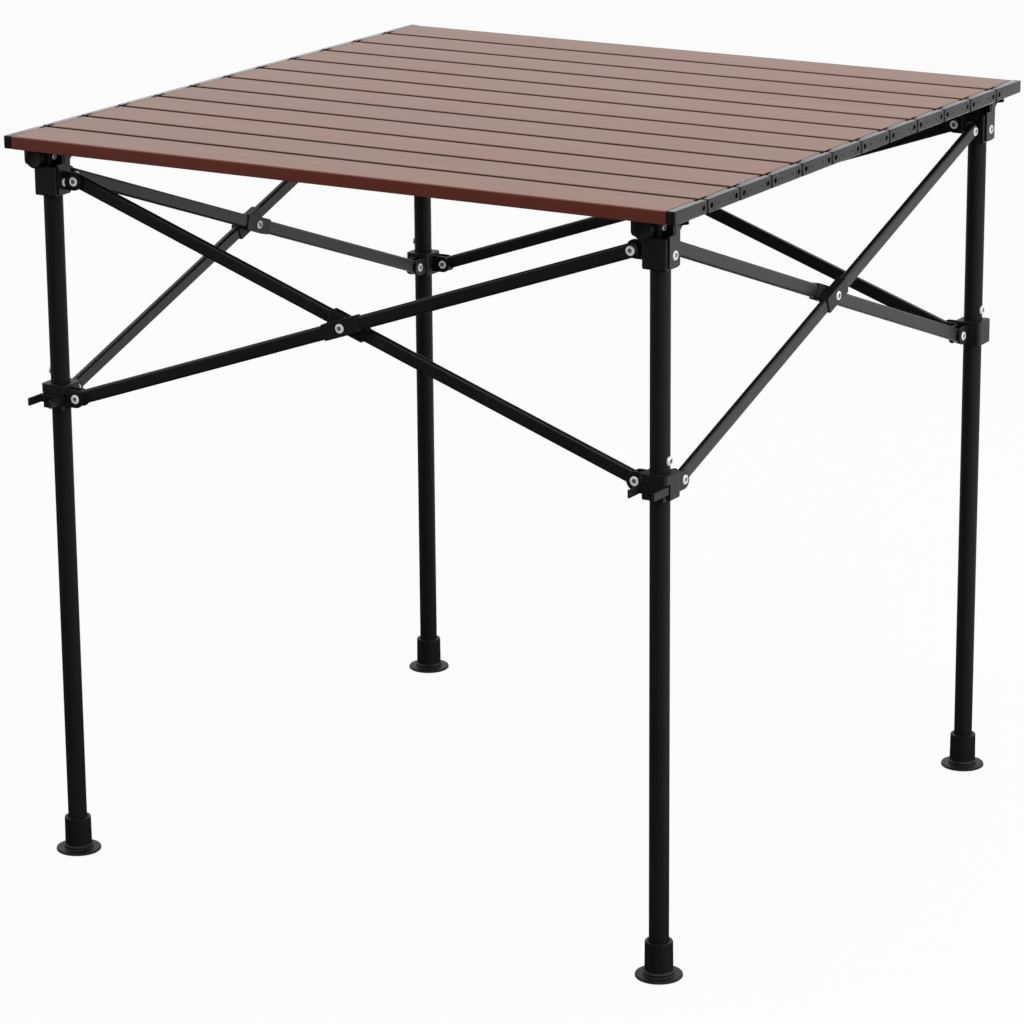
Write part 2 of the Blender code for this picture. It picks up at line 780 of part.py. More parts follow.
def make_bar(side_name, bar_name, material):
    """One bar of a scissor pair, with its crossing sleeve and the pins it turns on.

    Bar a hangs from the side's first leg and ends at the other leg's collar.
    Bar b runs from the first leg's collar to the other leg's head.
    """
    axis = side_axis(side_name)
    through = 1 - axis
    first, second = (CORNERS[name] for name in SIDES[side_name])
    leg_plane = first[through] * HALF_SPACING
    plane = leg_plane + bar_plane(side_name, bar_name)
    start = first[axis] * HALF_SPACING - first[axis] * PIVOT_REACH
    end = second[axis] * HALF_SPACING - second[axis] * PIVOT_REACH
    heights = (TOP_PIVOT_HEIGHT, COLLAR_HEIGHT)
    if bar_name == "b":
        heights = (COLLAR_HEIGHT, TOP_PIVOT_HEIGHT)
    middle = ((start + end) / 2, sum(heights) / 2)
    run, rise = end - start, heights[1] - heights[0]
    angle = math.atan2(rise, run)
    length = math.hypot(run, rise) + 2 * BAR_OVERHANG
    shape = outline_plate(
        tilted(bar_outline(length, BAR_HEIGHT, BAR_CORNER), middle, angle),
        BAR_THICKNESS,
        through,
        plane,
        BAR_EDGE_ROUND,
    )
    sleeve_height = BAR_HEIGHT + 2 * SLEEVE_WALL
    sleeve = outline_plate(
        tilted(bar_outline(SLEEVE_LENGTH, sleeve_height, SLEEVE_CORNER), middle, angle),
        BAR_THICKNESS + 2 * SLEEVE_WALL,
        through,
        plane,
    )
    away = math.copysign(1.0, plane - leg_plane)
    lug_far = -away * EAR_THICKNESS / 2
    fork_far = abs(fork_offset(away)) + FORK_THICKNESS / 2
    bar_middle = away * BAR_PLANE
    pins = []
    for pivot, height in zip((start, end), heights):
        outer = away * fork_far if height == COLLAR_HEIGHT else bar_middle
        pins.append(
            rod(
                through,
                (pivot, height),
                leg_plane + lug_far,
                leg_plane + outer,
                PIN_DIAMETER,
                PIN_SIDES,
            )
        )
    sleeve_reach = BAR_PLANE + BAR_THICKNESS / 2 + SLEEVE_WALL
    if bar_name == "b":
        far = leg_plane - away * sleeve_reach
        pins.append(rod(through, middle, plane, far, PIN_DIAMETER, PIN_SIDES))
    join(shape, [sleeve, *pins])
    if bar_name == "a":
        reach = away * (sleeve_reach + SLEEVE_WALL)
        hole = rod(through, middle, leg_plane, leg_plane + reach, PIN_HOLE_DIAMETER, PIN_SIDES)
        cut(shape, [hole])
    origin = [0.0, 0.0, 0.0]
    origin[through] = leg_plane
    if bar_name == "a":
        origin[axis], origin[2] = start, heights[0]
    else:
        origin[axis], origin[2] = middle
    return keep(shape, f"scissor_bar_{side_name}_{bar_name}", material, origin)


clear_scene()
PARTS = new_collection("folding_picnic_table")
slat_brown = finish("anodised_brown_slat", (0.155, 0.060, 0.045), 0.38, 0.75)
cap_black = finish("black_end_cap", (0.030, 0.030, 0.032), 0.48, 0.0)
leg_black = finish("black_painted_tube", (0.012, 0.012, 0.014), 0.36, 0.0)
foot_black = finish("black_foot", (0.014, 0.014, 0.015), 0.55, 0.0)
bar_black = finish("black_painted_bar", (0.014, 0.014, 0.016), 0.40, 0.0)
collar_black = finish("black_collar", (0.022, 0.022, 0.024), 0.45, 0.0)
lever_black = finish("black_lever", (0.030, 0.030, 0.033), 0.42, 0.0)

for slat_number in range(1, SLAT_COUNT + 1):
    slat_object = make_slat(slat_number, slat_brown)
    for cap_side in ("left", "right"):
        make_end_cap(slat_number, cap_side, slat_object, cap_black)
for name in CORNERS:
    leg_object = make_leg(name, leg_black)
    make_foot(name, leg_object, foot_black)
    make_collar(name, collar_black)
    if has_lever(name):
        make_lever(name, lever_black)
for side in SIDES:
    for bar in ("a", "b"):
        make_bar(side, bar, bar_black)
bpy.context.view_layer.update()
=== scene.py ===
# %% [markdown]
# # The looks of a folding picnic table
# The table has a roll-up top of twelve brown aluminium slats and a black folding frame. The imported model
# gives every piece its place and size. Here each piece gets its rounded edges, its rivets and its finish.

# %% Load the frame
import json
import math

import bmesh
import bpy
from mathutils import Matrix, Vector


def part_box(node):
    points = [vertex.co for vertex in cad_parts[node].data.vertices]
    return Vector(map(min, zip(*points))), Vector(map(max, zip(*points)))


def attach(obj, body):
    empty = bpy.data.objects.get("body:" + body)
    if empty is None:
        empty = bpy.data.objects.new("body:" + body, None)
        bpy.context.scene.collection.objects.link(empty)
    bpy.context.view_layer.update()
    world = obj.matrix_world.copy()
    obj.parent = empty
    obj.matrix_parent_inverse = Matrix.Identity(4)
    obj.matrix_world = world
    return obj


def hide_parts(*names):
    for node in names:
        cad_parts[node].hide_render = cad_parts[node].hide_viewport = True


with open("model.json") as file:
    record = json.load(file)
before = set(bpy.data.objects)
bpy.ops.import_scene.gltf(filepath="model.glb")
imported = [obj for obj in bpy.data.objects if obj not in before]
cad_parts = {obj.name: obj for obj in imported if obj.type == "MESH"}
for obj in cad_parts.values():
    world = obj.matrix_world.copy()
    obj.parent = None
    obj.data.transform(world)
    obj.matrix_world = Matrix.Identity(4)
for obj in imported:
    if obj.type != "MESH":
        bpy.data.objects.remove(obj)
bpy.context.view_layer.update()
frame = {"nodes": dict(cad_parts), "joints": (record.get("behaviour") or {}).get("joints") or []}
nodes = frame["nodes"]
joints = {joint["name"]: joint for joint in frame["joints"]}

# %% [markdown]
# ## Where things are
# Legs, pivots and slats could be typed in again, but then two files could disagree. They are read from the
# frame instead: a leg stands over the middle of its foot, and the joints say where the bars' pins are.

# %% Read the main places
CORNERS = {
    "front_left": (-1, -1),
    "front_right": (1, -1),
    "back_left": (-1, 1),
    "back_right": (1, 1),
}
SIDES = {
    "front": ("front_left", "front_right"),
    "left": ("front_left", "back_left"),
    "right": ("front_right", "back_right"),
    "back": ("back_left", "back_right"),
}
HANDS = {-1: "left", 1: "right"}
SLAT_COUNT = 12

foot_low, foot_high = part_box("foot_front_right")
slat_low, slat_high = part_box("slat_01")
cap_low, cap_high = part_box("end_cap_02_right")
HALF_SPACING = (foot_low.x + foot_high.x) / 2
HEAD_PIVOT_HEIGHT = joints["front_right_leg_pivot"]["pos_m"][2]
COLLAR_HEIGHT = joints["front_right_collar_pivot"]["pos_m"][2]
PIVOT_REACH = HALF_SPACING - joints["front_right_leg_pivot"]["pos_m"][0]
SLAT_FRONT = slat_low.y
SLAT_DEPTH = slat_high.y - slat_low.y
SLAT_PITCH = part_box("slat_02")[0].y - slat_low.y
SLAT_TOP = slat_high.z
LINK_HEIGHT = joints["top_roll"]["pos_m"][2]
HALF_WIDTH = cap_high.x
print("legs", round(HALF_SPACING, 4), "pitch", round(SLAT_PITCH, 5), "top", round(SLAT_TOP, 4))


def leg_axis(corner):
    """The foot of a leg's axis, on the floor."""
    across, deep = CORNERS[corner]
    return Vector((across * HALF_SPACING, deep * HALF_SPACING, 0.0))


# %% [markdown]
# ## Shaders as expressions
# A finish is a small sum: a colour, plus a little grain, plus a little wear. Nodes could be added and linked
# one by one. Wrapping a socket in a class lets the sum be written as Python, and the class adds the nodes.


# %% A socket that can be added and multiplied
class Signal:
    """One output of a shader network, with arithmetic that adds Math nodes."""

    def __init__(self, tree, output):
        self.tree = tree
        self.output = output

    def node(self, kind, settings=None, sockets=None, output=0):
        """Adds a node: its settings first, then the values or links of its sockets."""
        made = self.tree.nodes.new(kind)
        for name, value in (settings or {}).items():
            setattr(made, name, value)
        for name, value in (sockets or {}).items():
            if isinstance(value, Signal):
                self.tree.links.new(value.output, made.inputs[name])
            else:
                made.inputs[name].default_value = value
        return Signal(self.tree, made.outputs[output])

    def maths(self, operation, other=0.0, reflected=False):
        """A Math node on this socket and another, or the other way round."""
        sockets = {0: other, 1: self} if reflected else {0: self, 1: other}
        return self.node("ShaderNodeMath", {"operation": operation}, sockets)

    def __add__(self, other):
        return self.maths("ADD", other)

    __radd__ = __add__

    def __sub__(self, other):
        return self.maths("SUBTRACT", other)

    def __rsub__(self, other):
        return self.maths("SUBTRACT", other, reflected=True)

    def __mul__(self, other):
        return self.maths("MULTIPLY", other)

    __rmul__ = __mul__

    def __truediv__(self, other):
        return self.maths("DIVIDE", other)

    def __rtruediv__(self, other):
        return self.maths("DIVIDE", other, reflected=True)

    def feed(self, shader, socket):
        self.tree.links.new(self.output, shader.inputs[socket])


print("a Signal is ready for shader sums")


# %% Helpers for the finishes
def new_finish(name, constants):
    """A Principled material with its even values set, and the piece's own coordinates."""
    material = bpy.data.materials.new(name)
    material.use_nodes = True
    tree = material.node_tree
    shader = tree.nodes["Principled BSDF"]
    for socket, value in constants.items():
        shader.inputs[socket].default_value = value
    place = Signal(tree, tree.nodes.new("ShaderNodeTexCoord").outputs["Object"])
    return material, shader, place


def noise(place, scale, detail=2.0, stretch=(1.0, 1.0, 1.0)):
    """Soft noise. A stretch above 1 makes it finer on that axis."""
    moved = place.node("ShaderNodeMapping", {}, {"Vector": place, "Scale": stretch})
    return place.node("ShaderNodeTexNoise", {}, {"Vector": moved, "Scale": scale, "Detail": detail})


def step_between(value, low, high):
    """0 below low and 1 above high, with a soft step between them."""
    settings = {"interpolation_type": "SMOOTHSTEP"}
    return value.node("ShaderNodeMapRange", settings, {"Value": value, "From Min": low, "From Max": high})


def blended(share, first, second):
    """A colour between two others."""
    sockets = {0: share, 6: first, 7: second}
    return share.node("ShaderNodeMix", {"data_type": "RGBA"}, sockets, output=2)


def bumped(height, strength, depth):
    """A bump for the Normal socket. The depth is in metres."""
    sockets = {"Height": height, "Strength": strength, "Distance": depth}
    return height.node("ShaderNodeBump", {}, sockets)


print("shader helpers ready")

# %% [markdown]
# ## Brown anodised aluminium
# The slats are extruded aluminium, brushed along their length and anodised dark red-brown. Seen flat on they
# are dark, and at a low angle they turn pale and a little yellow. A partly metallic shader under a coat does
# that by itself, so the colour stays dark. Grain, faint streaks and a small change from slat to slat are
# added to it, and painted shade darkens the joints, the lips beside them and the cut ends.

# %% The slats' finish
SLAT_DARK = (0.112, 0.0195, 0.0138, 1.0)
SLAT_LIGHT = (0.197, 0.0365, 0.0260, 1.0)
# The colour of the painted shade in the joints, on the lips beside them and on the cut ends
JOINT_SHADE = (0.014, 0.0045, 0.0035, 1.0)
FRONT_WALL = 0.0012
REAR_LEDGE = 0.0038
JOINT_BLEND = 0.0003
# How far painted shade reaches onto the top beside each joint, and how dark it is there
LIP_SHADE_WIDTH = 0.0019
LIP_SHADE = 0.85
CAP_LENGTH = 0.009
SLAT_END = HALF_WIDTH - CAP_LENGTH
EDGE_TINT = (1.0, 1.0, 0.70, 1.0)
BRUSH_STRETCH = (7.0, 620.0, 620.0)
HAIR_STRETCH = (45.0, 4200.0, 4200.0)
STREAK_STRETCH = (4.0, 75.0, 75.0)
SLAT_CLOUD_SCALE = 9.0
COAT_LEAST = 0.30
COAT_STREAK = 0.24
BRUSH_BUMP = 0.10
BRUSH_DEPTH = 0.0002


def joint_shade_mask(along, deep, high, across):
    """Painted shade: 1 in the joints between slats, on the lips beside them and on the cut ends."""
    ledge = SLAT_DEPTH - REAR_LEDGE
    at_front = 1 - step_between(across, FRONT_WALL - JOINT_BLEND, FRONT_WALL)
    at_rear = step_between(across, ledge, ledge + JOINT_BLEND)
    below = 1 - step_between(high, SLAT_TOP - 2 * JOINT_BLEND, SLAT_TOP - JOINT_BLEND)
    from_edge = -SLAT_FRONT - deep.maths("ABSOLUTE")
    inside = step_between(from_edge, REAR_LEDGE, REAR_LEDGE + JOINT_BLEND)
    at_lip = LIP_SHADE * step_between(across, ledge - LIP_SHADE_WIDTH, ledge)
    at_wall = below * at_front.maths("MAXIMUM", at_rear)
    at_joint = inside * at_wall.maths("MAXIMUM", at_lip)
    at_end = step_between(along.maths("ABSOLUTE"), SLAT_END - JOINT_BLEND / 2, SLAT_END - JOINT_BLEND / 4)
    return at_joint.maths("MAXIMUM", at_end)


def make_slat_finish():
    constants = {"Metallic": 0.30, "Coat Roughness": 0.34, "Specular Tint": EDGE_TINT}
    material, shader, place = new_finish("brown_anodised_slat", constants)
    brush = noise(place, 1.0, 3.0, BRUSH_STRETCH)
    hair = noise(place, 1.0, 2.0, HAIR_STRETCH)
    streak = noise(place, 1.0, 2.0, STREAK_STRETCH)
    cloud = noise(place, SLAT_CLOUD_SCALE, 3.0)
    along, deep, high = (
        place.node("ShaderNodeSeparateXYZ", {}, {"Vector": place}, output=axis) for axis in "XYZ"
    )
    count = (deep - SLAT_FRONT) / SLAT_PITCH
    number = count.maths("FLOOR")
    tone = number.node("ShaderNodeTexWhiteNoise", {"noise_dimensions": "1D"}, {"W": number})
    joint = joint_shade_mask(along, deep, high, (count - number) * SLAT_PITCH)
    share = 0.45 * brush + 0.25 * hair + 0.22 * tone + 0.20 * cloud
    colour = blended(share, SLAT_DARK, SLAT_LIGHT)
    # Painted shade darkens the joints, the lips beside them and the cut ends
    blended(joint, colour, JOINT_SHADE).feed(shader, "Base Color")
    ((COAT_LEAST + COAT_STREAK * streak) * (1 - joint)).feed(shader, "Coat Weight")
    rough = 0.30 + 0.10 * brush + 0.06 * hair + 0.05 * cloud + 0.25 * joint
    rough.feed(shader, "Roughness")
    bumped(0.6 * brush + 0.4 * hair, BRUSH_BUMP, BRUSH_DEPTH).feed(shader, "Normal")
    return material


slat_finish = make_slat_finish()
print(slat_finish.name, len(slat_finish.node_tree.nodes), "nodes")

# %% [markdown]
# ## Black powder coat and black plastics
# Tubes, bars and brackets are powder coated: nearly black, with the fine orange-peel skin of melted powder
# and a few specks of dust. The legs' coat is the dullest. Caps, collars and feet are moulded plastic with a
# stippled skin. One function makes them all, because they differ only in how dark, rough and grainy they are.

# %% The black finishes
SPECK_CELLS = 110.0
SPECK_SIZE = 0.05
SPECK_RARITY = 0.94
COAT_IOR = 1.25
CLOUD_SCALE = 16.0
RUB_SCALE = 42.0
RUB_STRETCH = (1.0, 1.0, 0.35)
RUB_RANGE = (0.60, 0.78)
SKIN_BUMP = 0.35


def grey(value, blue=1.06):
    return (value, value, blue * value, 1.0)


def dust_specks(place):
    """1 on a few small dots, at most one to a cell."""
    cells = {"Vector": place, "Scale": SPECK_CELLS}
    distance = place.node("ShaderNodeTexVoronoi", {}, cells, output="Distance")
    cell_colour = place.node("ShaderNodeTexVoronoi", {}, cells, output="Color")
    lottery = place.node("ShaderNodeSeparateColor", {}, {"Color": cell_colour})
    drawn = lottery.maths("GREATER_THAN", SPECK_RARITY)
    return drawn * (1 - step_between(distance, SPECK_SIZE / 2, SPECK_SIZE))


def make_black(name, tones, rough, grain, specular, specks, coat=0.0):
    """Black between two tones. The grain is the scale and the depth of the skin's bumps."""
    constants = {"Specular IOR Level": specular, "Coat Weight": coat, "Coat IOR": COAT_IOR}
    material, shader, place = new_finish(name, constants)
    grain_scale, grain_depth = grain
    skin = noise(place, grain_scale, 2.0)
    cloud = noise(place, CLOUD_SCALE, 4.0)
    rub = step_between(noise(place, RUB_SCALE, 5.0, RUB_STRETCH), *RUB_RANGE)
    share = 0.40 * cloud + 0.35 * skin + 0.35 * rub + specks * dust_specks(place)
    dark, light = tones
    blended(share, grey(dark), grey(light)).feed(shader, "Base Color")
    (rough + 0.10 * cloud + 0.08 * skin + 0.10 * rub - 0.07).feed(shader, "Roughness")
    bumped(skin, SKIN_BUMP, grain_depth).feed(shader, "Normal")
    return material


coat_finish = make_black(
    "black_coat", (0.0045, 0.013), rough=0.36, grain=(900.0, 8e-5), specular=0.38, specks=3.0
)
tube_finish = make_black(
    "black_dull_coat", (0.0050, 0.011), rough=0.54, grain=(900.0, 8e-5), specular=0.16, specks=2.0
)
cap_finish = make_black(
    "black_end_cap", (0.005, 0.012), rough=0.44, grain=(1500.0, 1.1e-4), specular=0.10, specks=0.6, coat=1.0
)
fitting_finish = make_black(
    "black_fitting", (0.004, 0.010), rough=0.46, grain=(1100.0, 1e-4), specular=0.34, specks=0.8
)
foot_finish = make_black(
    "black_foot", (0.004, 0.010), rough=0.44, grain=(800.0, 1.2e-4), specular=0.26, specks=1.5
)
link_finish = make_black(
    "black_link", (0.004, 0.010), rough=0.50, grain=(700.0, 6e-5), specular=0.20, specks=0.0
)
print("six black finishes")

# %% [markdown]
# ## Zinc-plated steel
# Rivets and screws are the only bright metal. Plating is dull rather than a mirror and never quite even, so a
# fine noise varies both the brightness and the roughness, and a coarser one dulls some patches. The dished
# middle of a rivet has a darker finish, which is painted shade for the hollow of a tubular rivet.

# %% The rivets' finishes
PLATING_SCALE = 1400.0
PATCH_SCALE = 260.0
PATCH_RANGE = (0.45, 0.75)
PLATING_BUMP = 0.12
PLATING_DEPTH = 5e-5


def make_zinc(name, bright, dull, metallic):
    material, shader, place = new_finish(name, {"Metallic": metallic})
    fine = noise(place, PLATING_SCALE, 3.0)
    patch = step_between(noise(place, PATCH_SCALE, 3.0), *PATCH_RANGE)
    share = 0.35 * fine + 0.5 * patch
    blended(share, grey(bright, 1.0), grey(dull, 1.0)).feed(shader, "Base Color")
    (0.34 + 0.12 * fine + 0.14 * patch).feed(shader, "Roughness")
    bumped(fine, PLATING_BUMP, PLATING_DEPTH).feed(shader, "Normal")
    return material


zinc_finish = make_zinc("bright_zinc", bright=0.95, dull=0.68, metallic=0.18)
# Painted shade for the dished middles of the rivets
dish_shade_finish = make_zinc("dark_zinc", bright=0.22, dull=0.08, metallic=0.50)
print(zinc_finish.name, "and", dish_shade_finish.name)

# %% [markdown]
# ## Tools for the pieces
# Every piece is a few simple solids: a box, a plate cut to an outline, or a turned form. Each is made by
# itself with its edges rounded, and the solids of one piece are then put in one mesh. That keeps the edges
# clean, where cutting and joining would leave ragged ones.

# %% Boxes and plates
SHARP_ANGLE = math.radians(38)
FLAT_ANGLE = math.radians(0.2)
MERGE_DISTANCE = 2e-6
ROUND_STEPS = 2
FINE_STEPS = 3
CORNER_STEPS = 4


def rounded(shape, parts, rounding, steps=ROUND_STEPS, affect="EDGES"):
    """The shape, with some of its edges or corners bevelled."""
    bmesh.ops.bevel(
        shape,
        geom=parts,
        offset=rounding,
        segments=steps,
        profile=0.5,
        affect=affect,
        material=-1,
        clamp_overlap=True,
    )
    return shape


def sharp_edges(shape):
    return [e for e in shape.edges if e.is_manifold and e.calc_face_angle() > SHARP_ANGLE]


def brick(low, high, rounding, steps=ROUND_STEPS):
    """A box between two corners, with every edge rounded."""
    low, high = Vector(low), Vector(high)
    shape = bmesh.new()
    bmesh.ops.create_cube(shape, size=1.0)
    size = Vector(abs(part) for part in high - low)
    bmesh.ops.scale(shape, vec=size, verts=shape.verts)
    bmesh.ops.translate(shape, vec=(low + high) / 2, verts=shape.verts)
    return rounded(shape, shape.edges[:], rounding, steps)


def unit(axis):
    return Vector([1.0 if axis == index else 0.0 for index in range(3)])


def plate(
    outline, axis, start, end, rim, corner=0.0,
    corner_steps=CORNER_STEPS, rim_steps=ROUND_STEPS, rounds=None,
):
    """A plate from an outline of points, spread along an axis from start to end.

    The outline's points are (y, z), (x, z) or (x, y) for the axes X, Y and Z. Corners are rounded all
    round, or only those whose numbers are in rounds.
    """
    shape = bmesh.new()
    for first, second in outline:
        point = [first, second]
        point.insert(axis, start)
        shape.verts.new(point)
    shape.faces.new(shape.verts)
    if corner:
        shape.verts.ensure_lookup_table()
        chosen = shape.verts[:] if rounds is None else [shape.verts[number] for number in rounds]
        rounded(shape, chosen, corner, corner_steps, "VERTICES")
        bmesh.ops.remove_doubles(shape, verts=shape.verts, dist=MERGE_DISTANCE)
    pushed = bmesh.ops.extrude_face_region(shape, geom=shape.faces[:])["geom"]
    moved = [part for part in pushed if isinstance(part, bmesh.types.BMVert)]
    bmesh.ops.translate(shape, vec=(end - start) * unit(axis), verts=moved)
    bmesh.ops.recalc_face_normals(shape, faces=shape.faces)
    return rounded(shape, sharp_edges(shape), rim, rim_steps)


def oblong(start, end, low, high):
    """The outline of a plain plate, or the section of a plain ring or pin."""
    return [(start, low), (end, low), (end, high), (start, high)]


print("boxes and plates can be made")


# %% Turned forms and copies
def turned(profile, place, direction, steps, closed=False):
    """(radius, height) points spun about a line that starts at place."""
    shape = bmesh.new()
    points = [shape.verts.new((radius, 0.0, height)) for radius, height in profile]
    ends = points[1:] + points[:1] if closed else points[1:]
    lines = [shape.edges.new(pair) for pair in zip(points, ends)]
    bmesh.ops.spin(
        shape,
        geom=points + lines,
        cent=(0, 0, 0),
        axis=(0, 0, 1),
        dvec=(0, 0, 0),
        angle=math.tau,
        steps=steps,
        use_merge=True,
    )
    bmesh.ops.remove_doubles(shape, verts=shape.verts, dist=MERGE_DISTANCE)
    bmesh.ops.recalc_face_normals(shape, faces=shape.faces)
    turn = Vector((0, 0, 1)).rotation_difference(Vector(direction)).to_matrix().to_4x4()
    shape.transform(Matrix.Translation(place) @ turn)
    return shape


def cad_copy(node):
    """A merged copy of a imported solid, with its flat faces whole again."""
    shape = bmesh.new()
    shape.from_mesh(nodes[node].data)
    bmesh.ops.remove_doubles(shape, verts=shape.verts, dist=MERGE_DISTANCE)
    bmesh.ops.dissolve_limit(shape, angle_limit=FLAT_ANGLE, verts=shape.verts, edges=shape.edges)
    return shape


print("turned forms and copies can be made")

# %% [markdown]
# ## From solids to a piece
# A piece is one object that rides on a body of the frame. Smooth shading alone would make a flat face look
# swollen next to a rounded edge, so a Weighted Normal modifier lets the large faces set the shading.

# %% Put solids together and drill them


def as_mesh(solids, name):
    whole = bmesh.new()
    for solid in solids:
        part = bpy.data.meshes.new(name)
        solid.to_mesh(part)
        solid.free()
        whole.from_mesh(part)
        bpy.data.meshes.remove(part)
    mesh = bpy.data.meshes.new(name)
    whole.to_mesh(mesh)
    whole.free()
    return mesh


def new_piece(name, body, finish, solids, stands_for=None, second_finish=None):
    """One object that rides on a body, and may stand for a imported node."""
    mesh = as_mesh(solids, name)
    mesh.shade_smooth()
    mesh.set_sharp_from_angle(angle=SHARP_ANGLE)
    mesh.materials.append(finish)
    if second_finish:
        mesh.materials.append(second_finish)
    piece = bpy.data.objects.new(name, mesh)
    bpy.context.scene.collection.objects.link(piece)
    even = piece.modifiers.new("even_shading", "WEIGHTED_NORMAL")
    even.keep_sharp = True
    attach(piece, body)
    if stands_for:
        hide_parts(stands_for)
    return piece


def drilled(shape, cutters):
    """A copy of a solid with the cutters' shapes taken out of it."""
    pair = []
    for solids in ([shape], cutters):
        holder = bpy.data.objects.new("drilled", as_mesh(solids, "drilled"))
        bpy.context.scene.collection.objects.link(holder)
        pair.append(holder)
    cut = pair[0].modifiers.new("cut", "BOOLEAN")
    cut.operation = "DIFFERENCE"
    cut.object = pair[1]
    bpy.context.view_layer.update()
    evaluated = pair[0].evaluated_get(bpy.context.evaluated_depsgraph_get())
    result = bmesh.new()
    result.from_mesh(evaluated.to_mesh())
    evaluated.to_mesh_clear()
    for holder in pair:
        mesh = holder.data
        bpy.data.objects.remove(holder, do_unlink=True)
        bpy.data.meshes.remove(mesh)
    return result


print("pieces can be put together and drilled")

# %% [markdown]
# ## Slats
# Each slat is an extruded channel with two ribs under it. It could be extruded from an outline again, but the
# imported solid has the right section. Its copy only needs softer edges, because no die leaves a knife edge.

# %% The twelve slats
SLAT_EDGE = 0.0004


def make_slat(number):
    node = f"slat_{number:02d}"
    shape = cad_copy(node)
    long_edges = [e for e in sharp_edges(shape) if e.calc_length() > HALF_WIDTH]
    rounded(shape, long_edges, SLAT_EDGE)
    return new_piece(f"{node}_extrusion", node, slat_finish, [shape], node)


slats = [make_slat(number) for number in range(1, SLAT_COUNT + 1)]
print(len(slats), "slats,", len(slats[0].data.polygons), "faces each")

# %% [markdown]
# ## End caps
# A moulded cap closes each end of a slat. Its outer face has a countersunk pin hole by each joint, a fine
# groove that marks off the pad round the hole, and two small moulding dots. A bump could draw them, but real
# holes stay dark from every side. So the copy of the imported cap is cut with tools, and its outer edges are
# rounded first, while they are still whole.

# %% The caps' holes
PIN_REACH = 0.0069
HOLE_RADIUS = 0.0023
COUNTERSINK = 0.0005
HOLE_DEPTH = 0.0066
DOT_REACH = 0.0188
DOT_RADIUS = 0.0010
DOT_DEPTH = 0.0008
GROOVE_REACH = 0.0124
GROOVE_WIDTH = 0.0005
GROOVE_DEPTH = 0.0004
GROOVE_MARGIN = 0.0012
HOLE_STEPS = 20
CAP_EDGE = 0.00035
CAP_OUTER = HALF_WIDTH - HOLE_DEPTH + COUNTERSINK


def hole_tool(hand, deep, radius, depth, countersink):
    """A drill that enters the outer face of a cap."""
    profile = [
        (0.0, -countersink),
        (radius + 2 * countersink, -countersink),
        (radius, countersink),
        (radius, depth),
        (0.0, depth),
    ]
    place = (hand * HALF_WIDTH, deep, LINK_HEIGHT)
    return turned(profile, place, (-hand, 0, 0), HOLE_STEPS)


def groove_tool(hand, deep):
    """A thin upright blade that marks the outer face of a cap."""
    low = (hand * (HALF_WIDTH - GROOVE_DEPTH), deep - GROOVE_WIDTH / 2, cap_low.z + GROOVE_MARGIN)
    high = (hand * (HALF_WIDTH + GROOVE_DEPTH), deep + GROOVE_WIDTH / 2, cap_high.z - GROOVE_MARGIN)
    return brick(low, high, GROOVE_WIDTH / 10, steps=1)


def joint_places(number):
    """(side of the slat, depth) of each joint that a slat has with a neighbour."""
    middle = SLAT_FRONT + SLAT_DEPTH / 2 + (number - 1) * SLAT_PITCH
    ways = [way for way in (-1, 1) if 1 <= number + way <= SLAT_COUNT]
    return [(way, middle + way * SLAT_PITCH / 2) for way in ways]


print("slat 2 has joints at", [round(deep, 4) for way, deep in joint_places(2)])


# %% The twenty-four caps
def make_cap(number, hand):
    node = f"end_cap_{number:02d}_{HANDS[hand]}"
    ways = joint_places(number)
    tools = []
    for way, deep in ways:
        tools.append(hole_tool(hand, deep - way * PIN_REACH, HOLE_RADIUS, HOLE_DEPTH, COUNTERSINK))
        tools.append(groove_tool(hand, deep - way * GROOVE_REACH))
        if len(ways) == 2:
            tools.append(hole_tool(hand, deep - way * DOT_REACH, DOT_RADIUS, DOT_DEPTH, COUNTERSINK / 4))
    shape = cad_copy(node)
    outer = [e for e in sharp_edges(shape) if min(abs(v.co.x) for v in e.verts) > CAP_OUTER]
    long_outer = [e for e in outer if e.calc_length() > 4 * CAP_EDGE]
    rounded(shape, long_outer, CAP_EDGE)
    body = f"slat_{number:02d}"
    return new_piece(f"{node}_moulding", body, cap_finish, [drilled(shape, tools)], node)


caps = [make_cap(number, hand) for number in range(1, SLAT_COUNT + 1) for hand in HANDS]
print(len(caps), "caps")

# %% [markdown]
# ## Links between the slats
# A short steel plate sits in the slots of two neighbouring caps, on a pin in each of them. From above it is
# the black slit at every joint. It could be left out, but then the top would hang together by nothing. It
# rides on the front slat of its pair, and its far lower edge slopes, because the next slat turns upwards.

# %% The link plates and their pins
LINK_MIDDLE = SLAT_END + 0.0016
LINK_THICKNESS = 0.002
LINK_REACH = 0.0101
LINK_NEAR_REACH = 0.0108
LINK_LOW = SLAT_TOP - 0.0085
LINK_FAR_LOW = SLAT_TOP - 0.0046
LINK_HIGH = SLAT_TOP - 0.0018
LINK_CORNER = 0.0011
LINK_RIM = 0.00025
PIN_RADIUS = 0.0018
PIN_START = HALF_WIDTH - 0.0060
PIN_END = HALF_WIDTH - 0.0030
PIN_EDGE = 0.0003


def make_link(number, hand):
    """The link between a slat and the next one, at one end of the top."""
    deep = joint_places(number)[-1][1]
    outline = [
        (deep - LINK_NEAR_REACH, LINK_LOW),
        (deep, LINK_LOW),
        (deep + LINK_REACH, LINK_FAR_LOW),
        (deep + LINK_REACH, LINK_HIGH),
        (deep - LINK_NEAR_REACH, LINK_HIGH),
    ]
    inner = hand * (LINK_MIDDLE - LINK_THICKNESS / 2)
    outer = hand * (LINK_MIDDLE + LINK_THICKNESS / 2)
    solid = plate(outline, 0, inner, outer, LINK_RIM, LINK_CORNER)
    name = f"link_{number:02d}_{HANDS[hand]}"
    return new_piece(name, f"slat_{number:02d}", link_finish, [solid])


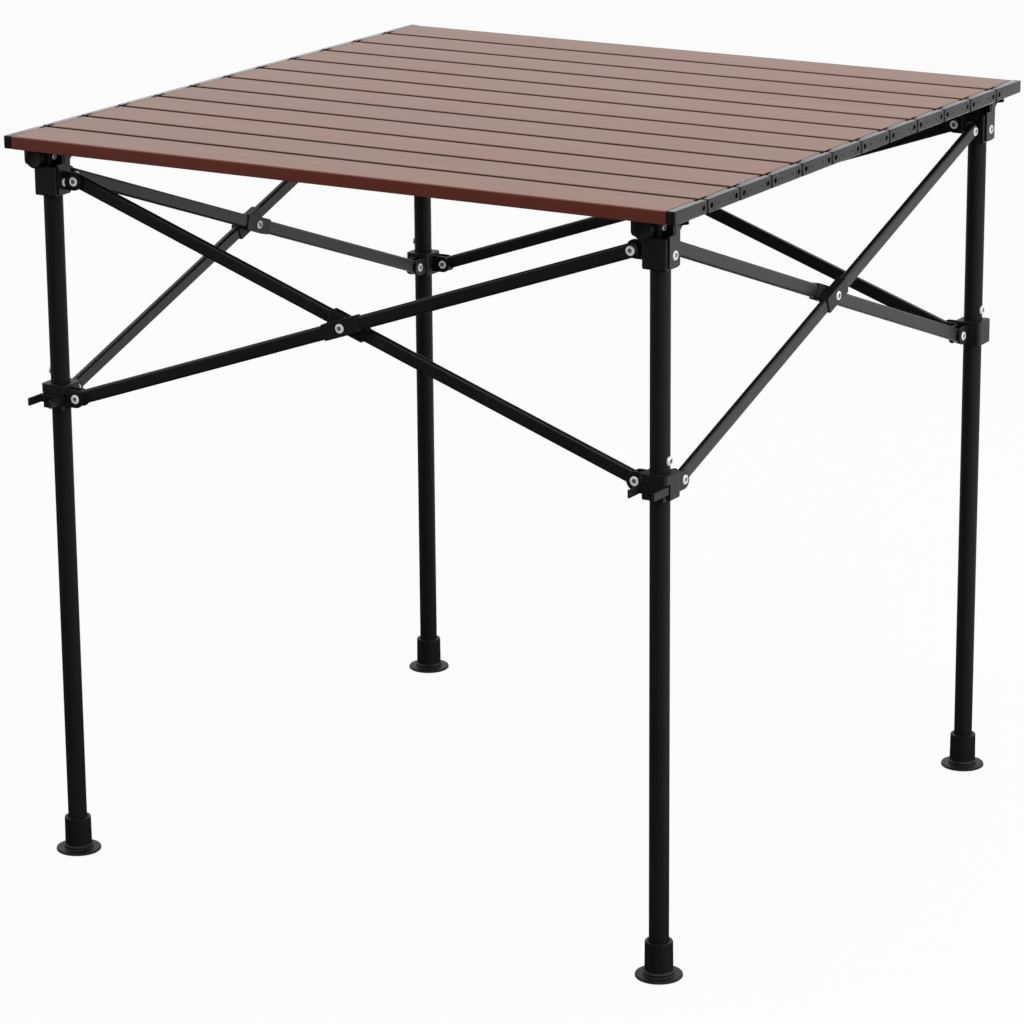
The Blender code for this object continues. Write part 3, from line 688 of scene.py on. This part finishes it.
def make_link_pins(number, hand):
    """The link pins that a slat's cap holds."""
    profile = [
        (0.0, 0.0),
        (PIN_RADIUS, 0.0),
        (PIN_RADIUS, PIN_END - PIN_START - PIN_EDGE),
        (PIN_RADIUS - PIN_EDGE, PIN_END - PIN_START),
        (0.0, PIN_END - PIN_START),
    ]
    solids = []
    for way, deep in joint_places(number):
        place = (hand * PIN_START, deep - way * PIN_REACH, LINK_HEIGHT)
        solids.append(turned(profile, place, (hand, 0, 0), HOLE_STEPS))
    name = f"link_pins_{number:02d}_{HANDS[hand]}"
    return new_piece(name, f"slat_{number:02d}", link_finish, solids)


links = [make_link(number, hand) for number in range(1, SLAT_COUNT) for hand in HANDS]
pins = [make_link_pins(number, hand) for number in range(1, SLAT_COUNT + 1) for hand in HANDS]
print(len(links), "links,", len(pins), "sets of pins")

# %% [markdown]
# ## Legs
# A leg is a plain round tube, so it is turned: its wall's section is spun once about the leg's axis. A
# cylinder with a Solidify modifier would do as well, but a spin also gives the ring of the open ends.

# %% The four tubes
TUBE_RADIUS = 0.009
TUBE_BORE = 0.0078
TUBE_BOTTOM = 0.0048
TUBE_TOP = 0.6695
TUBE_STEPS = 64


def make_tube(corner):
    wall = oblong(TUBE_BORE, TUBE_RADIUS, TUBE_BOTTOM, TUBE_TOP)
    solid = turned(wall, leg_axis(corner), (0, 0, 1), TUBE_STEPS, closed=True)
    node = f"leg_{corner}"
    return new_piece(f"{node}_tube", node, tube_finish, [solid], node)


tubes = [make_tube(corner) for corner in CORNERS]
print(len(tubes), "tubes")

# %% [markdown]
# ## Corner fittings
# A moulded block on each leg's head carries two lugs for the bars and a round peg under the top. A lug could
# be a box joined to a disc. A plate whose far corners are rounded by its half height does the same in one
# solid, because that makes a half circle about the pivot.

# %% Lugs
LUG_RADIUS = 0.0085
LUG_THICKNESS = 0.0026
LUG_RIM = 0.0005
LUG_STEPS = 8


def lug(corner, axis, start, height, across, thickness):
    """A round-ended plate from a leg or a collar towards the next leg along X or Y."""
    foot = leg_axis(corner)
    inward = -CORNERS[corner][axis]
    near = foot[axis] + inward * start
    far = foot[axis] + inward * (PIVOT_REACH + LUG_RADIUS)
    outline = oblong(near, far, height - LUG_RADIUS, height + LUG_RADIUS)
    middle = foot[1 - axis] + across
    one_face, other_face = middle - thickness / 2, middle + thickness / 2
    return plate(outline, 1 - axis, one_face, other_face, LUG_RIM, LUG_RADIUS, LUG_STEPS, rounds=(1, 2))


print("lugs reach", round(PIVOT_REACH + LUG_RADIUS, 4), "m from a leg's axis")

# %% The four heads
HEAD_SIDE = 0.024
HEAD_BOTTOM = 0.643
HEAD_TOP = 0.671
HEAD_ROUND = 0.0016
HEAD_LUG_START = 0.0105
PEG_RADIUS = 0.0097
PEG_ASIDE = 0.010
PEG_HEIGHT = 0.6778
PEG_FRONT = 0.015
PEG_LENGTH = 0.018
PEG_ROUND = 0.0012
PEG_DISH = 0.0006
PEG_STEPS = 48
ARC_OUT, ARC_DOWN = 0.7, 0.3
LIP_REACH = 0.0225
LIP_LOW = 0.6705
LIP_HIGH = 0.687
LIP_FRONT = 0.012
LIP_BACK = 0.003
LIP_CORNER = 0.004


def make_fitting(corner):
    foot = leg_axis(corner)
    half = HEAD_SIDE / 2
    low = foot + Vector((-half, -half, HEAD_BOTTOM))
    high = foot + Vector((half, half, HEAD_TOP))
    solids = [brick(low, high, HEAD_ROUND, FINE_STEPS)]
    for axis in (0, 1):
        solids.append(lug(corner, axis, HEAD_LUG_START, HEAD_PIVOT_HEIGHT, 0.0, LUG_THICKNESS))
    rim = PEG_RADIUS - PEG_ROUND
    peg = [
        (0.0, PEG_DISH),
        (rim - 2 * PEG_ROUND, PEG_DISH),
        (rim - PEG_ROUND, 0.0),
        (rim, 0.0),
        (rim + ARC_OUT * PEG_ROUND, ARC_DOWN * PEG_ROUND),
        (PEG_RADIUS, PEG_ROUND),
        (PEG_RADIUS, PEG_LENGTH - PEG_ROUND),
        (rim, PEG_LENGTH),
        (0.0, PEG_LENGTH),
    ]
    peg_place = foot + Vector((-PEG_ASIDE, -PEG_FRONT, PEG_HEIGHT))
    solids.append(turned(peg, peg_place, (0, 1, 0), PEG_STEPS))
    lip = oblong(foot.x - LIP_REACH, foot.x - PEG_ASIDE, LIP_LOW, LIP_HIGH)
    front, back = foot.y - LIP_FRONT, foot.y - LIP_BACK
    solids.append(plate(lip, 1, front, back, LUG_RIM, LIP_CORNER, rounds=(0, 3)))
    body = f"leg_{corner}"
    return new_piece(f"{body}_fitting", body, fitting_finish, solids)


fittings = [make_fitting(corner) for corner in CORNERS]
print(len(fittings), "fittings")

# %% [markdown]
# ## Brackets
# A bent steel bracket stands on each head: a small tab, a web behind it, and beside the head a plate with a
# flared hook and a beak under the top. It could be one sheet folded along its bends. Flat plates that overlap
# at the bends look the same here, and their outlines have few points, because sheet is cut straight.

# %% The plates and tabs
BRACKET_FACE = 0.01405
BRACKET_BACK = 0.01155
BRACKET_HALF = 0.0093
BRACKET_NECK = 0.0007
BRACKET_FLARE = 0.020
BRACKET_LOW = 0.6452
BRACKET_SHOULDER = 0.6732
BRACKET_HOOK_FOOT = 0.6754
BRACKET_HOOK_LOW = 0.6831
BRACKET_TOP = 0.6875
TAB_FACE = 0.0040
TAB_BACK = 0.0012
TAB_FRONT = 0.0093
TAB_REAR = 0.006
TAB_LOW = 0.6695
WEB_THICKNESS = 0.0019
WEB_INSET = 0.0003
BEAK_FRONT = 0.0022
BEAK_REAR = 0.0002
BEAK_LOW = 0.6808
BEAK_REACH = 0.0275
SHEET_RIM = 0.0004


def make_bracket(corner):
    foot = leg_axis(corner)
    hooked = [
        (-BRACKET_HALF, BRACKET_LOW),
        (BRACKET_HALF, BRACKET_LOW),
        (BRACKET_HALF, BRACKET_HOOK_FOOT),
        (BRACKET_FLARE, BRACKET_HOOK_LOW),
        (BRACKET_FLARE, BRACKET_TOP),
        (BRACKET_NECK, BRACKET_TOP),
        (BRACKET_NECK, BRACKET_SHOULDER),
        (-BRACKET_HALF, BRACKET_SHOULDER),
    ]
    tab = oblong(-TAB_FRONT, TAB_REAR, TAB_LOW, BRACKET_TOP)
    solids = []
    for outline, back, face in ((hooked, BRACKET_BACK, BRACKET_FACE), (tab, TAB_BACK, TAB_FACE)):
        placed = [(foot.y + along, up) for along, up in outline]
        solids.append(plate(placed, 0, foot.x + back, foot.x + face, SHEET_RIM))
    web_rear = TAB_REAR - WEB_INSET
    web_low = foot + Vector((TAB_FACE - SHEET_RIM, web_rear - WEB_THICKNESS, TAB_LOW))
    web_high = foot + Vector((BRACKET_BACK + SHEET_RIM, web_rear, BRACKET_TOP - WEB_INSET))
    solids.append(brick(web_low, web_high, SHEET_RIM / 2))
    root, stem = foot.x + BRACKET_BACK + SHEET_RIM, foot.x + BRACKET_FACE - SHEET_RIM
    tip, under_cap = foot.x + BEAK_REACH, BRACKET_TOP - WEB_INSET
    beak = [
        (root, TAB_LOW),
        (stem, TAB_LOW),
        (stem, BEAK_LOW),
        (tip, BRACKET_HOOK_LOW + SHEET_RIM),
        (tip, under_cap),
        (root, under_cap),
    ]
    solids.append(plate(beak, 1, foot.y - BEAK_FRONT, foot.y - BEAK_REAR, SHEET_RIM))
    body = f"leg_{corner}"
    return new_piece(f"{body}_bracket", body, coat_finish, solids)


brackets = [make_bracket(corner) for corner in CORNERS]
print(len(brackets), "brackets")

# %% [markdown]
# ## Rivets and screws
# Each pivot is a tubular rivet: its head is a rolled ring with a dished middle. One turned profile makes the
# whole rivet, from the dish of one head along the shank to the other head, so nothing has to be joined.

# %% Rivet profiles
RIVET_HEAD = (
    (0.0, 0.22), (0.30, 0.22), (0.40, 0.45), (0.50, 0.86), (0.62, 1.0),
    (0.76, 0.97), (0.89, 0.78), (0.97, 0.44), (1.0, 0.0),
)
RIVET_RADIUS = 0.0044
RIVET_PROUD = 0.0014
RIVET_BACK_PROUD = 0.0012
RIVET_SHANK = 0.0024
RIVET_SUNK = 0.0001
RIVET_STEPS = 28
# How much of a rivet's head gets the painted shade of its dished middle
DISH_SHARE = 0.47


def rivet(place, direction, length, radius=RIVET_RADIUS, proud=RIVET_PROUD, back=RIVET_BACK_PROUD):
    """A rivet whose shank starts at place. Its first head is at the start, its second at the end."""
    first = [(share * radius, RIVET_SUNK - up * back) for share, up in RIVET_HEAD]
    second = [(share * radius, length - RIVET_SUNK + up * proud) for share, up in RIVET_HEAD]
    shank = [(RIVET_SHANK, RIVET_SUNK), (RIVET_SHANK, length - RIVET_SUNK)]
    shape = turned(first + shank + second[::-1], place, direction, RIVET_STEPS)
    # Faces of the dished middle get the second finish, which is painted shade
    for face in shape.faces:
        reach = (face.calc_center_median() - Vector(place)).cross(Vector(direction)).length
        face.material_index = 1 if reach < DISH_SHARE * radius else 0
    return shape


print("rivet heads", 2 * RIVET_RADIUS, "m wide")

# %% Screws and stop rivets of the legs
PLATE_SCREW_HEIGHT = 0.6555
PLATE_SCREW_RADIUS = 0.0044
PLATE_SCREW_BACK = 0.0004
TAB_SCREW_HEIGHT = 0.6785
TAB_SCREW_RADIUS = 0.0028
TAB_SCREW_FORWARD = 0.0015
TAB_SCREW_PROUD = 0.0012
STOP_HEIGHT = 0.475
STOP_RADIUS = 0.0043
STOP_PROUD = 0.0022
STOP_DEPTH = 0.0065


def make_screws(corner):
    foot = leg_axis(corner)
    along = (1, 0, 0)
    plate_screw = foot + Vector((BRACKET_BACK, 0, PLATE_SCREW_HEIGHT))
    tab_screw = foot + Vector((TAB_BACK, -TAB_SCREW_FORWARD, TAB_SCREW_HEIGHT))
    hand = CORNERS[corner][0]
    stop = foot + Vector((hand * STOP_DEPTH, 0, STOP_HEIGHT))
    solids = [
        rivet(plate_screw, along, BRACKET_FACE - BRACKET_BACK, PLATE_SCREW_RADIUS, back=PLATE_SCREW_BACK),
        rivet(tab_screw, along, TAB_FACE - TAB_BACK, TAB_SCREW_RADIUS, TAB_SCREW_PROUD),
        rivet(stop, (hand, 0, 0), TUBE_RADIUS - STOP_DEPTH, STOP_RADIUS, STOP_PROUD),
    ]
    body = f"leg_{corner}"
    return new_piece(f"{body}_screws", body, zinc_finish, solids, second_finish=dish_shade_finish)


screws = [make_screws(corner) for corner in CORNERS]
print(len(screws), "sets of screws")

# %% [markdown]
# ## Feet
# A foot is a moulded sleeve on a wide flange, so it is turned as well. Shallow flutes run down the sleeve.
# They could be cut out one by one, but that leaves long thin faces. Instead, the points of the sleeve's wall
# are pushed towards the axis after the spin, by a cosine of their angle.

# %% The four feet
FLANGE_RADIUS = 0.0215
FLANGE_HEIGHT = 0.003
RING_RADIUS = 0.01425
RING_HEIGHT = 0.0065
SLEEVE_FOOT_RADIUS = 0.0129
SLEEVE_TOP_RADIUS = 0.01265
FOOT_HEIGHT = 0.034
FOOT_EDGE = 0.0012
FOOT_BORE = 0.0093
FOOT_FLOOR = 0.0045
FLUTE_COUNT = 14
FLUTE_DEPTH = 0.00022
FLUTE_SHARPNESS = 3
FOOT_STEPS = 112


def make_foot(corner):
    half_edge = FOOT_EDGE / 2
    profile = [
        (0.0, 0.0),
        (FLANGE_RADIUS - half_edge, 0.0),
        (FLANGE_RADIUS, half_edge),
        (FLANGE_RADIUS, FLANGE_HEIGHT - FOOT_EDGE),
        (FLANGE_RADIUS - half_edge / 2, FLANGE_HEIGHT - half_edge / 2),
        (FLANGE_RADIUS - FOOT_EDGE, FLANGE_HEIGHT),
        (RING_RADIUS + half_edge, FLANGE_HEIGHT),
        (RING_RADIUS, FLANGE_HEIGHT + half_edge),
        (RING_RADIUS, RING_HEIGHT - FOOT_EDGE),
        (RING_RADIUS - FOOT_EDGE, RING_HEIGHT),
        (SLEEVE_FOOT_RADIUS, RING_HEIGHT + half_edge),
        (SLEEVE_TOP_RADIUS, FOOT_HEIGHT - FOOT_EDGE),
        (SLEEVE_TOP_RADIUS - half_edge / 2, FOOT_HEIGHT - half_edge / 2),
        (SLEEVE_TOP_RADIUS - FOOT_EDGE, FOOT_HEIGHT),
        (FOOT_BORE + half_edge, FOOT_HEIGHT),
        (FOOT_BORE, FOOT_HEIGHT - half_edge),
        (FOOT_BORE, FOOT_FLOOR),
        (0.0, FOOT_FLOOR),
    ]
    solid = turned(profile, (0, 0, 0), (0, 0, 1), FOOT_STEPS)
    for point in solid.verts:
        reach = math.hypot(point.co.x, point.co.y)
        on_wall = RING_HEIGHT < point.co.z < FOOT_HEIGHT - half_edge and reach > FOOT_BORE + FOOT_EDGE
        if on_wall:
            wave = 0.5 - 0.5 * math.cos(FLUTE_COUNT * math.atan2(point.co.y, point.co.x))
            inwards = 1 - FLUTE_DEPTH * wave**FLUTE_SHARPNESS / reach
            point.co.x *= inwards
            point.co.y *= inwards
    bmesh.ops.translate(solid, vec=leg_axis(corner), verts=solid.verts)
    node = f"foot_{corner}"
    return new_piece(f"{node}_moulding", f"leg_{corner}", foot_finish, [solid], node)


feet = [make_foot(corner) for corner in CORNERS]
print(len(feet), "feet")

# %% [markdown]
# ## Collars and release levers
# The collars slide on the legs. Each is a block with round upright corners, a bore for the tube and a forked
# lug for each of its two bars. The two front collars are notched for a lever with two arms. The solids are
# drilled one by one, because a Boolean on solids that already overlap can leave faces inside.

# %% Which bars end at a collar
def away_of(side_name, bar_name):
    """1 or -1: the way a bar lies from the plane of its legs. Bars b lie outside."""
    axis = 0 if side_name in ("front", "back") else 1
    outward = CORNERS[SIDES[side_name][0]][1 - axis]
    return outward if bar_name == "b" else -outward


def collar_side(corner, axis):
    """The side and the bar that end at a collar, along X or Y."""
    sides = ("front", "back") if axis == 0 else ("left", "right")
    side_name = next(side for side in sides if corner in SIDES[side])
    return side_name, "b" if SIDES[side_name][0] == corner else "a"


print("bars at the front left collar:", [collar_side("front_left", axis) for axis in (0, 1)])

# %% The four collars
COLLAR_SIDE = 0.027
COLLAR_LENGTH = 0.023
COLLAR_ROUND = 0.004
COLLAR_STEPS = 6
COLLAR_RIM = 0.0006
COLLAR_BORE = 0.0094
COLLAR_LUG_START = 0.0115
FORK_START = 0.0095
FORK_MIDDLE = 0.0101
FORK_THICKNESS = 0.002
NOTCH_INNER = 0.0106
NOTCH_START = 0.006
NOTCH_BELOW = 0.0123
NOTCH_ABOVE = 0.00345
NOTCH_OVERCUT = 0.0003
NOTCH_EDGE = 0.00002


def collar_tools(corner):
    foot = leg_axis(corner)
    bore_start = foot + Vector((0, 0, COLLAR_HEIGHT - COLLAR_SIDE))
    bore = oblong(0.0, COLLAR_BORE, 0.0, 2 * COLLAR_SIDE)
    tools = [turned(bore, bore_start, (0, 0, 1), TUBE_STEPS)]
    if CORNERS[corner][1] < 0:
        reach = COLLAR_SIDE / 2 + NOTCH_OVERCUT
        for hand in HANDS:
            low = foot + Vector((hand * NOTCH_INNER, -reach, COLLAR_HEIGHT - NOTCH_BELOW))
            high = foot + Vector((hand * reach, -NOTCH_START, COLLAR_HEIGHT + NOTCH_ABOVE))
            tools.append(brick(low, high, NOTCH_EDGE))
    return tools


def make_collar(corner):
    foot = leg_axis(corner)
    half = COLLAR_SIDE / 2
    square = oblong(foot.x - half, foot.x + half, foot.y - half, foot.y + half)
    low, high = COLLAR_HEIGHT - COLLAR_LENGTH / 2, COLLAR_HEIGHT + COLLAR_LENGTH / 2
    solids = [plate(square, 2, low, high, COLLAR_RIM, COLLAR_ROUND, COLLAR_STEPS)]
    for axis in (0, 1):
        fork = FORK_MIDDLE * away_of(*collar_side(corner, axis))
        solids.append(lug(corner, axis, COLLAR_LUG_START, COLLAR_HEIGHT, 0.0, LUG_THICKNESS))
        solids.append(lug(corner, axis, FORK_START, COLLAR_HEIGHT, fork, FORK_THICKNESS))
    solids = [drilled(solid, collar_tools(corner)) for solid in solids]
    node = f"collar_{corner}"
    return new_piece(f"{node}_moulding", node, fitting_finish, solids, node)


collars = [make_collar(corner) for corner in CORNERS]
print(len(collars), "collars")

# %% The two levers
ARM_INNER = 0.0109
ARM_OUTER = 0.0132
ARM_START = 0.008
ARM_END = 0.034
ARM_HALF = 0.00375
ARM_ROUND = 0.0007
LEVER_WEB_START = 0.015
LEVER_WEB_END = 0.017
LEVER_DROP = 0.0018
LEVER_HINGE = 0.010
LEVER_PIN_RADIUS = 0.0015
LEVER_PIN_START = 0.0089
LEVER_PIN_STEPS = 16


def make_lever(corner):
    hinge = leg_axis(corner) + Vector((0, 0, COLLAR_HEIGHT - LEVER_DROP))
    web_low = hinge + Vector((-ARM_OUTER + ARM_ROUND, -LEVER_WEB_END, -ARM_HALF + ARM_ROUND / 2))
    web_high = hinge + Vector((ARM_OUTER - ARM_ROUND, -LEVER_WEB_START, ARM_HALF - ARM_ROUND / 2))
    solids = [brick(web_low, web_high, ARM_ROUND / 2)]
    length = (ARM_INNER + ARM_OUTER) / 2 - LEVER_PIN_START
    pin = oblong(0.0, LEVER_PIN_RADIUS, 0.0, length)
    for hand in HANDS:
        arm_low = hinge + Vector((hand * ARM_INNER, -ARM_END, -ARM_HALF))
        arm_high = hinge + Vector((hand * ARM_OUTER, -ARM_START, ARM_HALF))
        solids.append(brick(arm_low, arm_high, ARM_ROUND, FINE_STEPS))
        pin_place = hinge + Vector((hand * LEVER_PIN_START, -LEVER_HINGE, 0))
        solids.append(turned(pin, pin_place, (hand, 0, 0), LEVER_PIN_STEPS))
    node = f"release_lever_{corner}"
    return new_piece(f"{node}_moulding", node, fitting_finish, solids, node)


levers = [make_lever(corner) for corner in ("front_left", "front_right")]
print(len(levers), "levers")

# %% [markdown]
# ## Scissor bars
# Each bar is a flattened tube. A box with one bevel would do, but its ends are rounder than its long edges,
# and a plate takes a size for each. Where two bars cross, each wears a moulded sleeve, so the paint doesn't
# rub. The sleeves are separate pieces, because their skin differs.

# %% Bars and sleeves
BAR_HALF_HEIGHT = 0.0065
BAR_THICKNESS = 0.007
BAR_PLANE = 0.0052
BAR_OVERHANG = 0.0068
BAR_CORNER = 0.0045
BAR_RIM = 0.0026
BAR_STEPS = 4
SLEEVE_HALF_LENGTH = 0.020
SLEEVE_WALL = 0.0012
SLEEVE_CORNER = 0.002
SLEEVE_RIM = 0.0007


class BarPlace:
    """Where a bar's two pivots and its crossing are."""

    def __init__(self, side_name, bar_name):
        self.axis = 0 if side_name in ("front", "back") else 1
        self.away = away_of(side_name, bar_name)
        self.legs = leg_axis(SIDES[side_name][0])[1 - self.axis]
        reach = HALF_SPACING - PIVOT_REACH
        self.heights = [HEAD_PIVOT_HEIGHT, COLLAR_HEIGHT]
        if bar_name == "b":
            self.heights.reverse()
        self.ends = (Vector((-reach, self.heights[0])), Vector((reach, self.heights[1])))
        self.middle = (self.ends[0] + self.ends[1]) / 2

    def at(self, point, across):
        """A place in space from a point on the bar and an offset from the legs' plane."""
        place = [0.0, 0.0, point[1]]
        place[self.axis] = point[0]
        place[1 - self.axis] = self.legs + across
        return Vector(place)

    def across(self):
        """The way out from the legs' plane towards the bar."""
        return self.away * unit(1 - self.axis)

    def strip(self, half_length, half_height, half_thickness, corner, rim):
        """A plate along the bar, about its middle."""
        along = (self.ends[1] - self.ends[0]).normalized()
        up = Vector((-along.y, along.x))
        outline = []
        for share, side in oblong(-1, 1, -1, 1):
            outline.append(self.middle + share * half_length * along + side * half_height * up)
        plane = self.legs + self.away * BAR_PLANE
        start, end = plane - half_thickness, plane + half_thickness
        return plate(outline, 1 - self.axis, start, end, rim, corner, rim_steps=BAR_STEPS)


def make_bar(side_name, bar_name):
    node = f"scissor_bar_{side_name}_{bar_name}"
    place = BarPlace(side_name, bar_name)
    half_length = (place.ends[1] - place.ends[0]).length / 2 + BAR_OVERHANG
    bar = place.strip(half_length, BAR_HALF_HEIGHT, BAR_THICKNESS / 2, BAR_CORNER, BAR_RIM)
    sleeve = place.strip(
        SLEEVE_HALF_LENGTH,
        BAR_HALF_HEIGHT + SLEEVE_WALL,
        BAR_THICKNESS / 2 + SLEEVE_WALL,
        SLEEVE_CORNER,
        SLEEVE_RIM,
    )
    new_piece(f"{node}_tube", node, coat_finish, [bar], node)
    new_piece(f"{node}_sleeve", node, fitting_finish, [sleeve])
    return place


bar_places = {(side, bar): make_bar(side, bar) for side in SIDES for bar in ("a", "b")}
print(len(bar_places), "bars with sleeves")

# %% The bars' rivets
LUG_FACE = LUG_THICKNESS / 2
BAR_FACE = BAR_PLANE + BAR_THICKNESS / 2
FORK_FACE = FORK_MIDDLE + FORK_THICKNESS / 2
SLEEVE_FACE = BAR_FACE + SLEEVE_WALL


def make_bar_rivets(side_name, bar_name):
    """Rivets through a bar and what carries it. Bars b also carry the rivet of the crossing."""
    place = bar_places[side_name, bar_name]
    way = place.across()
    solids = []
    for end, height in zip(place.ends, place.heights):
        face = FORK_FACE if height == COLLAR_HEIGHT else BAR_FACE
        start = place.at(end, -place.away * LUG_FACE)
        solids.append(rivet(start, way, face + LUG_FACE))
    if bar_name == "b":
        start = place.at(place.middle, -place.away * SLEEVE_FACE)
        solids.append(rivet(start, way, 2 * SLEEVE_FACE, back=RIVET_PROUD))
    node = f"scissor_bar_{side_name}_{bar_name}"
    return new_piece(f"{node}_rivets", node, zinc_finish, solids, second_finish=dish_shade_finish)


rivets = [make_bar_rivets(side, bar) for side, bar in bar_places]
print(len(rivets), "sets of rivets")

# %% [markdown]
# ## Floor and light
# The table stands in a white studio. Strong lamps could make a plain floor white, but they would turn the
# black pieces grey. So the floor glows for the rays that see it, and is partly plain, which keeps a soft
# shadow. Three large lamps light the table, from above, the right and the front. Dark cards before and under
# it, which only reflections see, keep its front faces and its feet black.

# %% What sees the white background


def background_rays(tree):
    """1 for camera, glossy and transmission rays, and 0 for all others."""
    path = tree.nodes.new("ShaderNodeLightPath")
    seen = Signal(tree, path.outputs["Is Camera Ray"])
    for name in ("Is Glossy Ray", "Is Transmission Ray"):
        seen = seen.maths("MAXIMUM", Signal(tree, path.outputs[name]))
    return seen


WORLD_FILL = 0.50
world = bpy.data.worlds.new("white_studio")
bpy.context.scene.world = world
world.use_nodes = True
sky = world.node_tree.nodes["Background"]
sky.inputs["Color"].default_value = (1.0, 1.0, 1.0, 1.0)
(WORLD_FILL + (1 - WORLD_FILL) * background_rays(world.node_tree)).feed(sky, "Strength")
print("world fill", WORLD_FILL)

# %% The floor
FLOOR_SIZE = 14.0
FLOOR_WHITE = (0.85, 0.85, 0.85, 1.0)
FLOOR_GLOW = 0.94


def make_floor_finish():
    material, shader, _ = new_finish("white_floor", {"Roughness": 0.9, "Base Color": FLOOR_WHITE})
    tree = material.node_tree
    glow = tree.nodes.new("ShaderNodeEmission")
    mixed = tree.nodes.new("ShaderNodeMixShader")
    (FLOOR_GLOW * background_rays(tree)).feed(mixed, 0)
    tree.links.new(shader.outputs[0], mixed.inputs[1])
    tree.links.new(glow.outputs[0], mixed.inputs[2])
    tree.links.new(mixed.outputs[0], tree.nodes["Material Output"].inputs["Surface"])
    return material


def stage_sheet(name, low, high, finish):
    """A flat four-cornered sheet that isn't part of the table."""
    shape = bmesh.new()
    bmesh.ops.create_grid(shape, x_segments=1, y_segments=1, size=0.5)
    upright = low[2] != high[2]
    if upright:
        bmesh.ops.rotate(shape, matrix=Matrix.Rotation(math.pi / 2, 3, "X"), verts=shape.verts)
    size = [end - start or 1.0 for start, end in zip(low, high)]
    bmesh.ops.scale(shape, vec=size, verts=shape.verts)
    bmesh.ops.translate(shape, vec=(Vector(low) + Vector(high)) / 2, verts=shape.verts)
    mesh = bpy.data.meshes.new(name)
    shape.to_mesh(mesh)
    shape.free()
    mesh.materials.append(finish)
    sheet = bpy.data.objects.new(name, mesh)
    bpy.context.scene.collection.objects.link(sheet)
    return sheet


half_floor = FLOOR_SIZE / 2
floor = stage_sheet("floor", (-half_floor, -half_floor, 0), (half_floor, half_floor, 0), make_floor_finish())
print(floor.name, FLOOR_SIZE, "m square")

# %% Dark cards for reflections
CARD_BLACK = (0.004, 0.004, 0.004, 1.0)
CARD_LEFT = -3.6
CARD_RIGHT = 1.6
CARD_FAR = -4.2
CARD_NEAR = -0.52
CARD_TOP = 3.2
CARD_UNDER = 0.6
CARD_LIFT = 0.002

card_constants = {"Base Color": CARD_BLACK, "Roughness": 1.0, "Specular IOR Level": 0.0}
card_finish = new_finish("dark_card", card_constants)[0]
card_places = {
    "dark_card_low": ((CARD_LEFT, CARD_FAR, CARD_LIFT), (CARD_RIGHT, CARD_NEAR, CARD_LIFT)),
    "dark_card_high": ((CARD_LEFT, CARD_FAR, CARD_LIFT), (CARD_RIGHT, CARD_FAR, CARD_TOP)),
    "dark_card_under": ((CARD_LEFT, CARD_NEAR, CARD_LIFT), (CARD_UNDER, CARD_UNDER, CARD_LIFT)),
}
cards = [stage_sheet(name, low, high, card_finish) for name, (low, high) in card_places.items()]
for card in cards:
    card.visible_camera = False
    card.visible_diffuse = False
    card.visible_shadow = False
    card.visible_transmission = False
print(len(cards), "cards")

# %% Lamps
LAMPS = {
    "overhead_softbox": ((0.3, 0.4, 2.6), 2.6, 16.0),
    "right_softbox": ((2.6, 0.6, 1.3), 1.8, 24.0),
    "front_softbox": ((0.9, -2.0, 2.5), 1.2, 14.0),
}
AIM = Vector((0.0, 0.0, 0.4))

for lamp_name, (lamp_place, lamp_size, lamp_power) in LAMPS.items():
    lamp_data = bpy.data.lights.new(lamp_name, "AREA")
    lamp_data.size = lamp_size
    lamp_data.energy = lamp_power
    lamp = bpy.data.objects.new(lamp_name, lamp_data)
    lamp.location = lamp_place
    lamp.rotation_euler = (AIM - lamp.location).to_track_quat("-Z", "Y").to_euler()
    bpy.context.scene.collection.objects.link(lamp)
print(len(LAMPS), "lamps")

# %% [markdown]
# ## Camera
# The camera stands to the front right, a little above the top, with a long lens. Its place was fitted to the
# corners of the top and to the feet, so the render can be laid over the photograph.

# %% Camera
CAMERA_PLACE = (1.9506, -3.2867, 1.4118)
CAMERA_DIP = 16.183
CAMERA_PITCH = math.radians(90 - CAMERA_DIP)
CAMERA_YAW = math.radians(30.951)
CAMERA_ROLL = math.radians(-0.46)
CAMERA_LENS = 144.3

camera_data = bpy.data.cameras.new("photo_camera")
camera_data.lens = CAMERA_LENS
camera = bpy.data.objects.new("photo_camera", camera_data)
camera.location = CAMERA_PLACE
tilted = Matrix.Rotation(CAMERA_YAW, 3, "Z") @ Matrix.Rotation(CAMERA_PITCH, 3, "X")
camera.rotation_euler = (tilted @ Matrix.Rotation(CAMERA_ROLL, 3, "Z")).to_euler()
bpy.context.scene.collection.objects.link(camera)
bpy.context.scene.camera = camera
bpy.context.scene.view_settings.view_transform = "Standard"
print("camera at", CAMERA_PLACE)
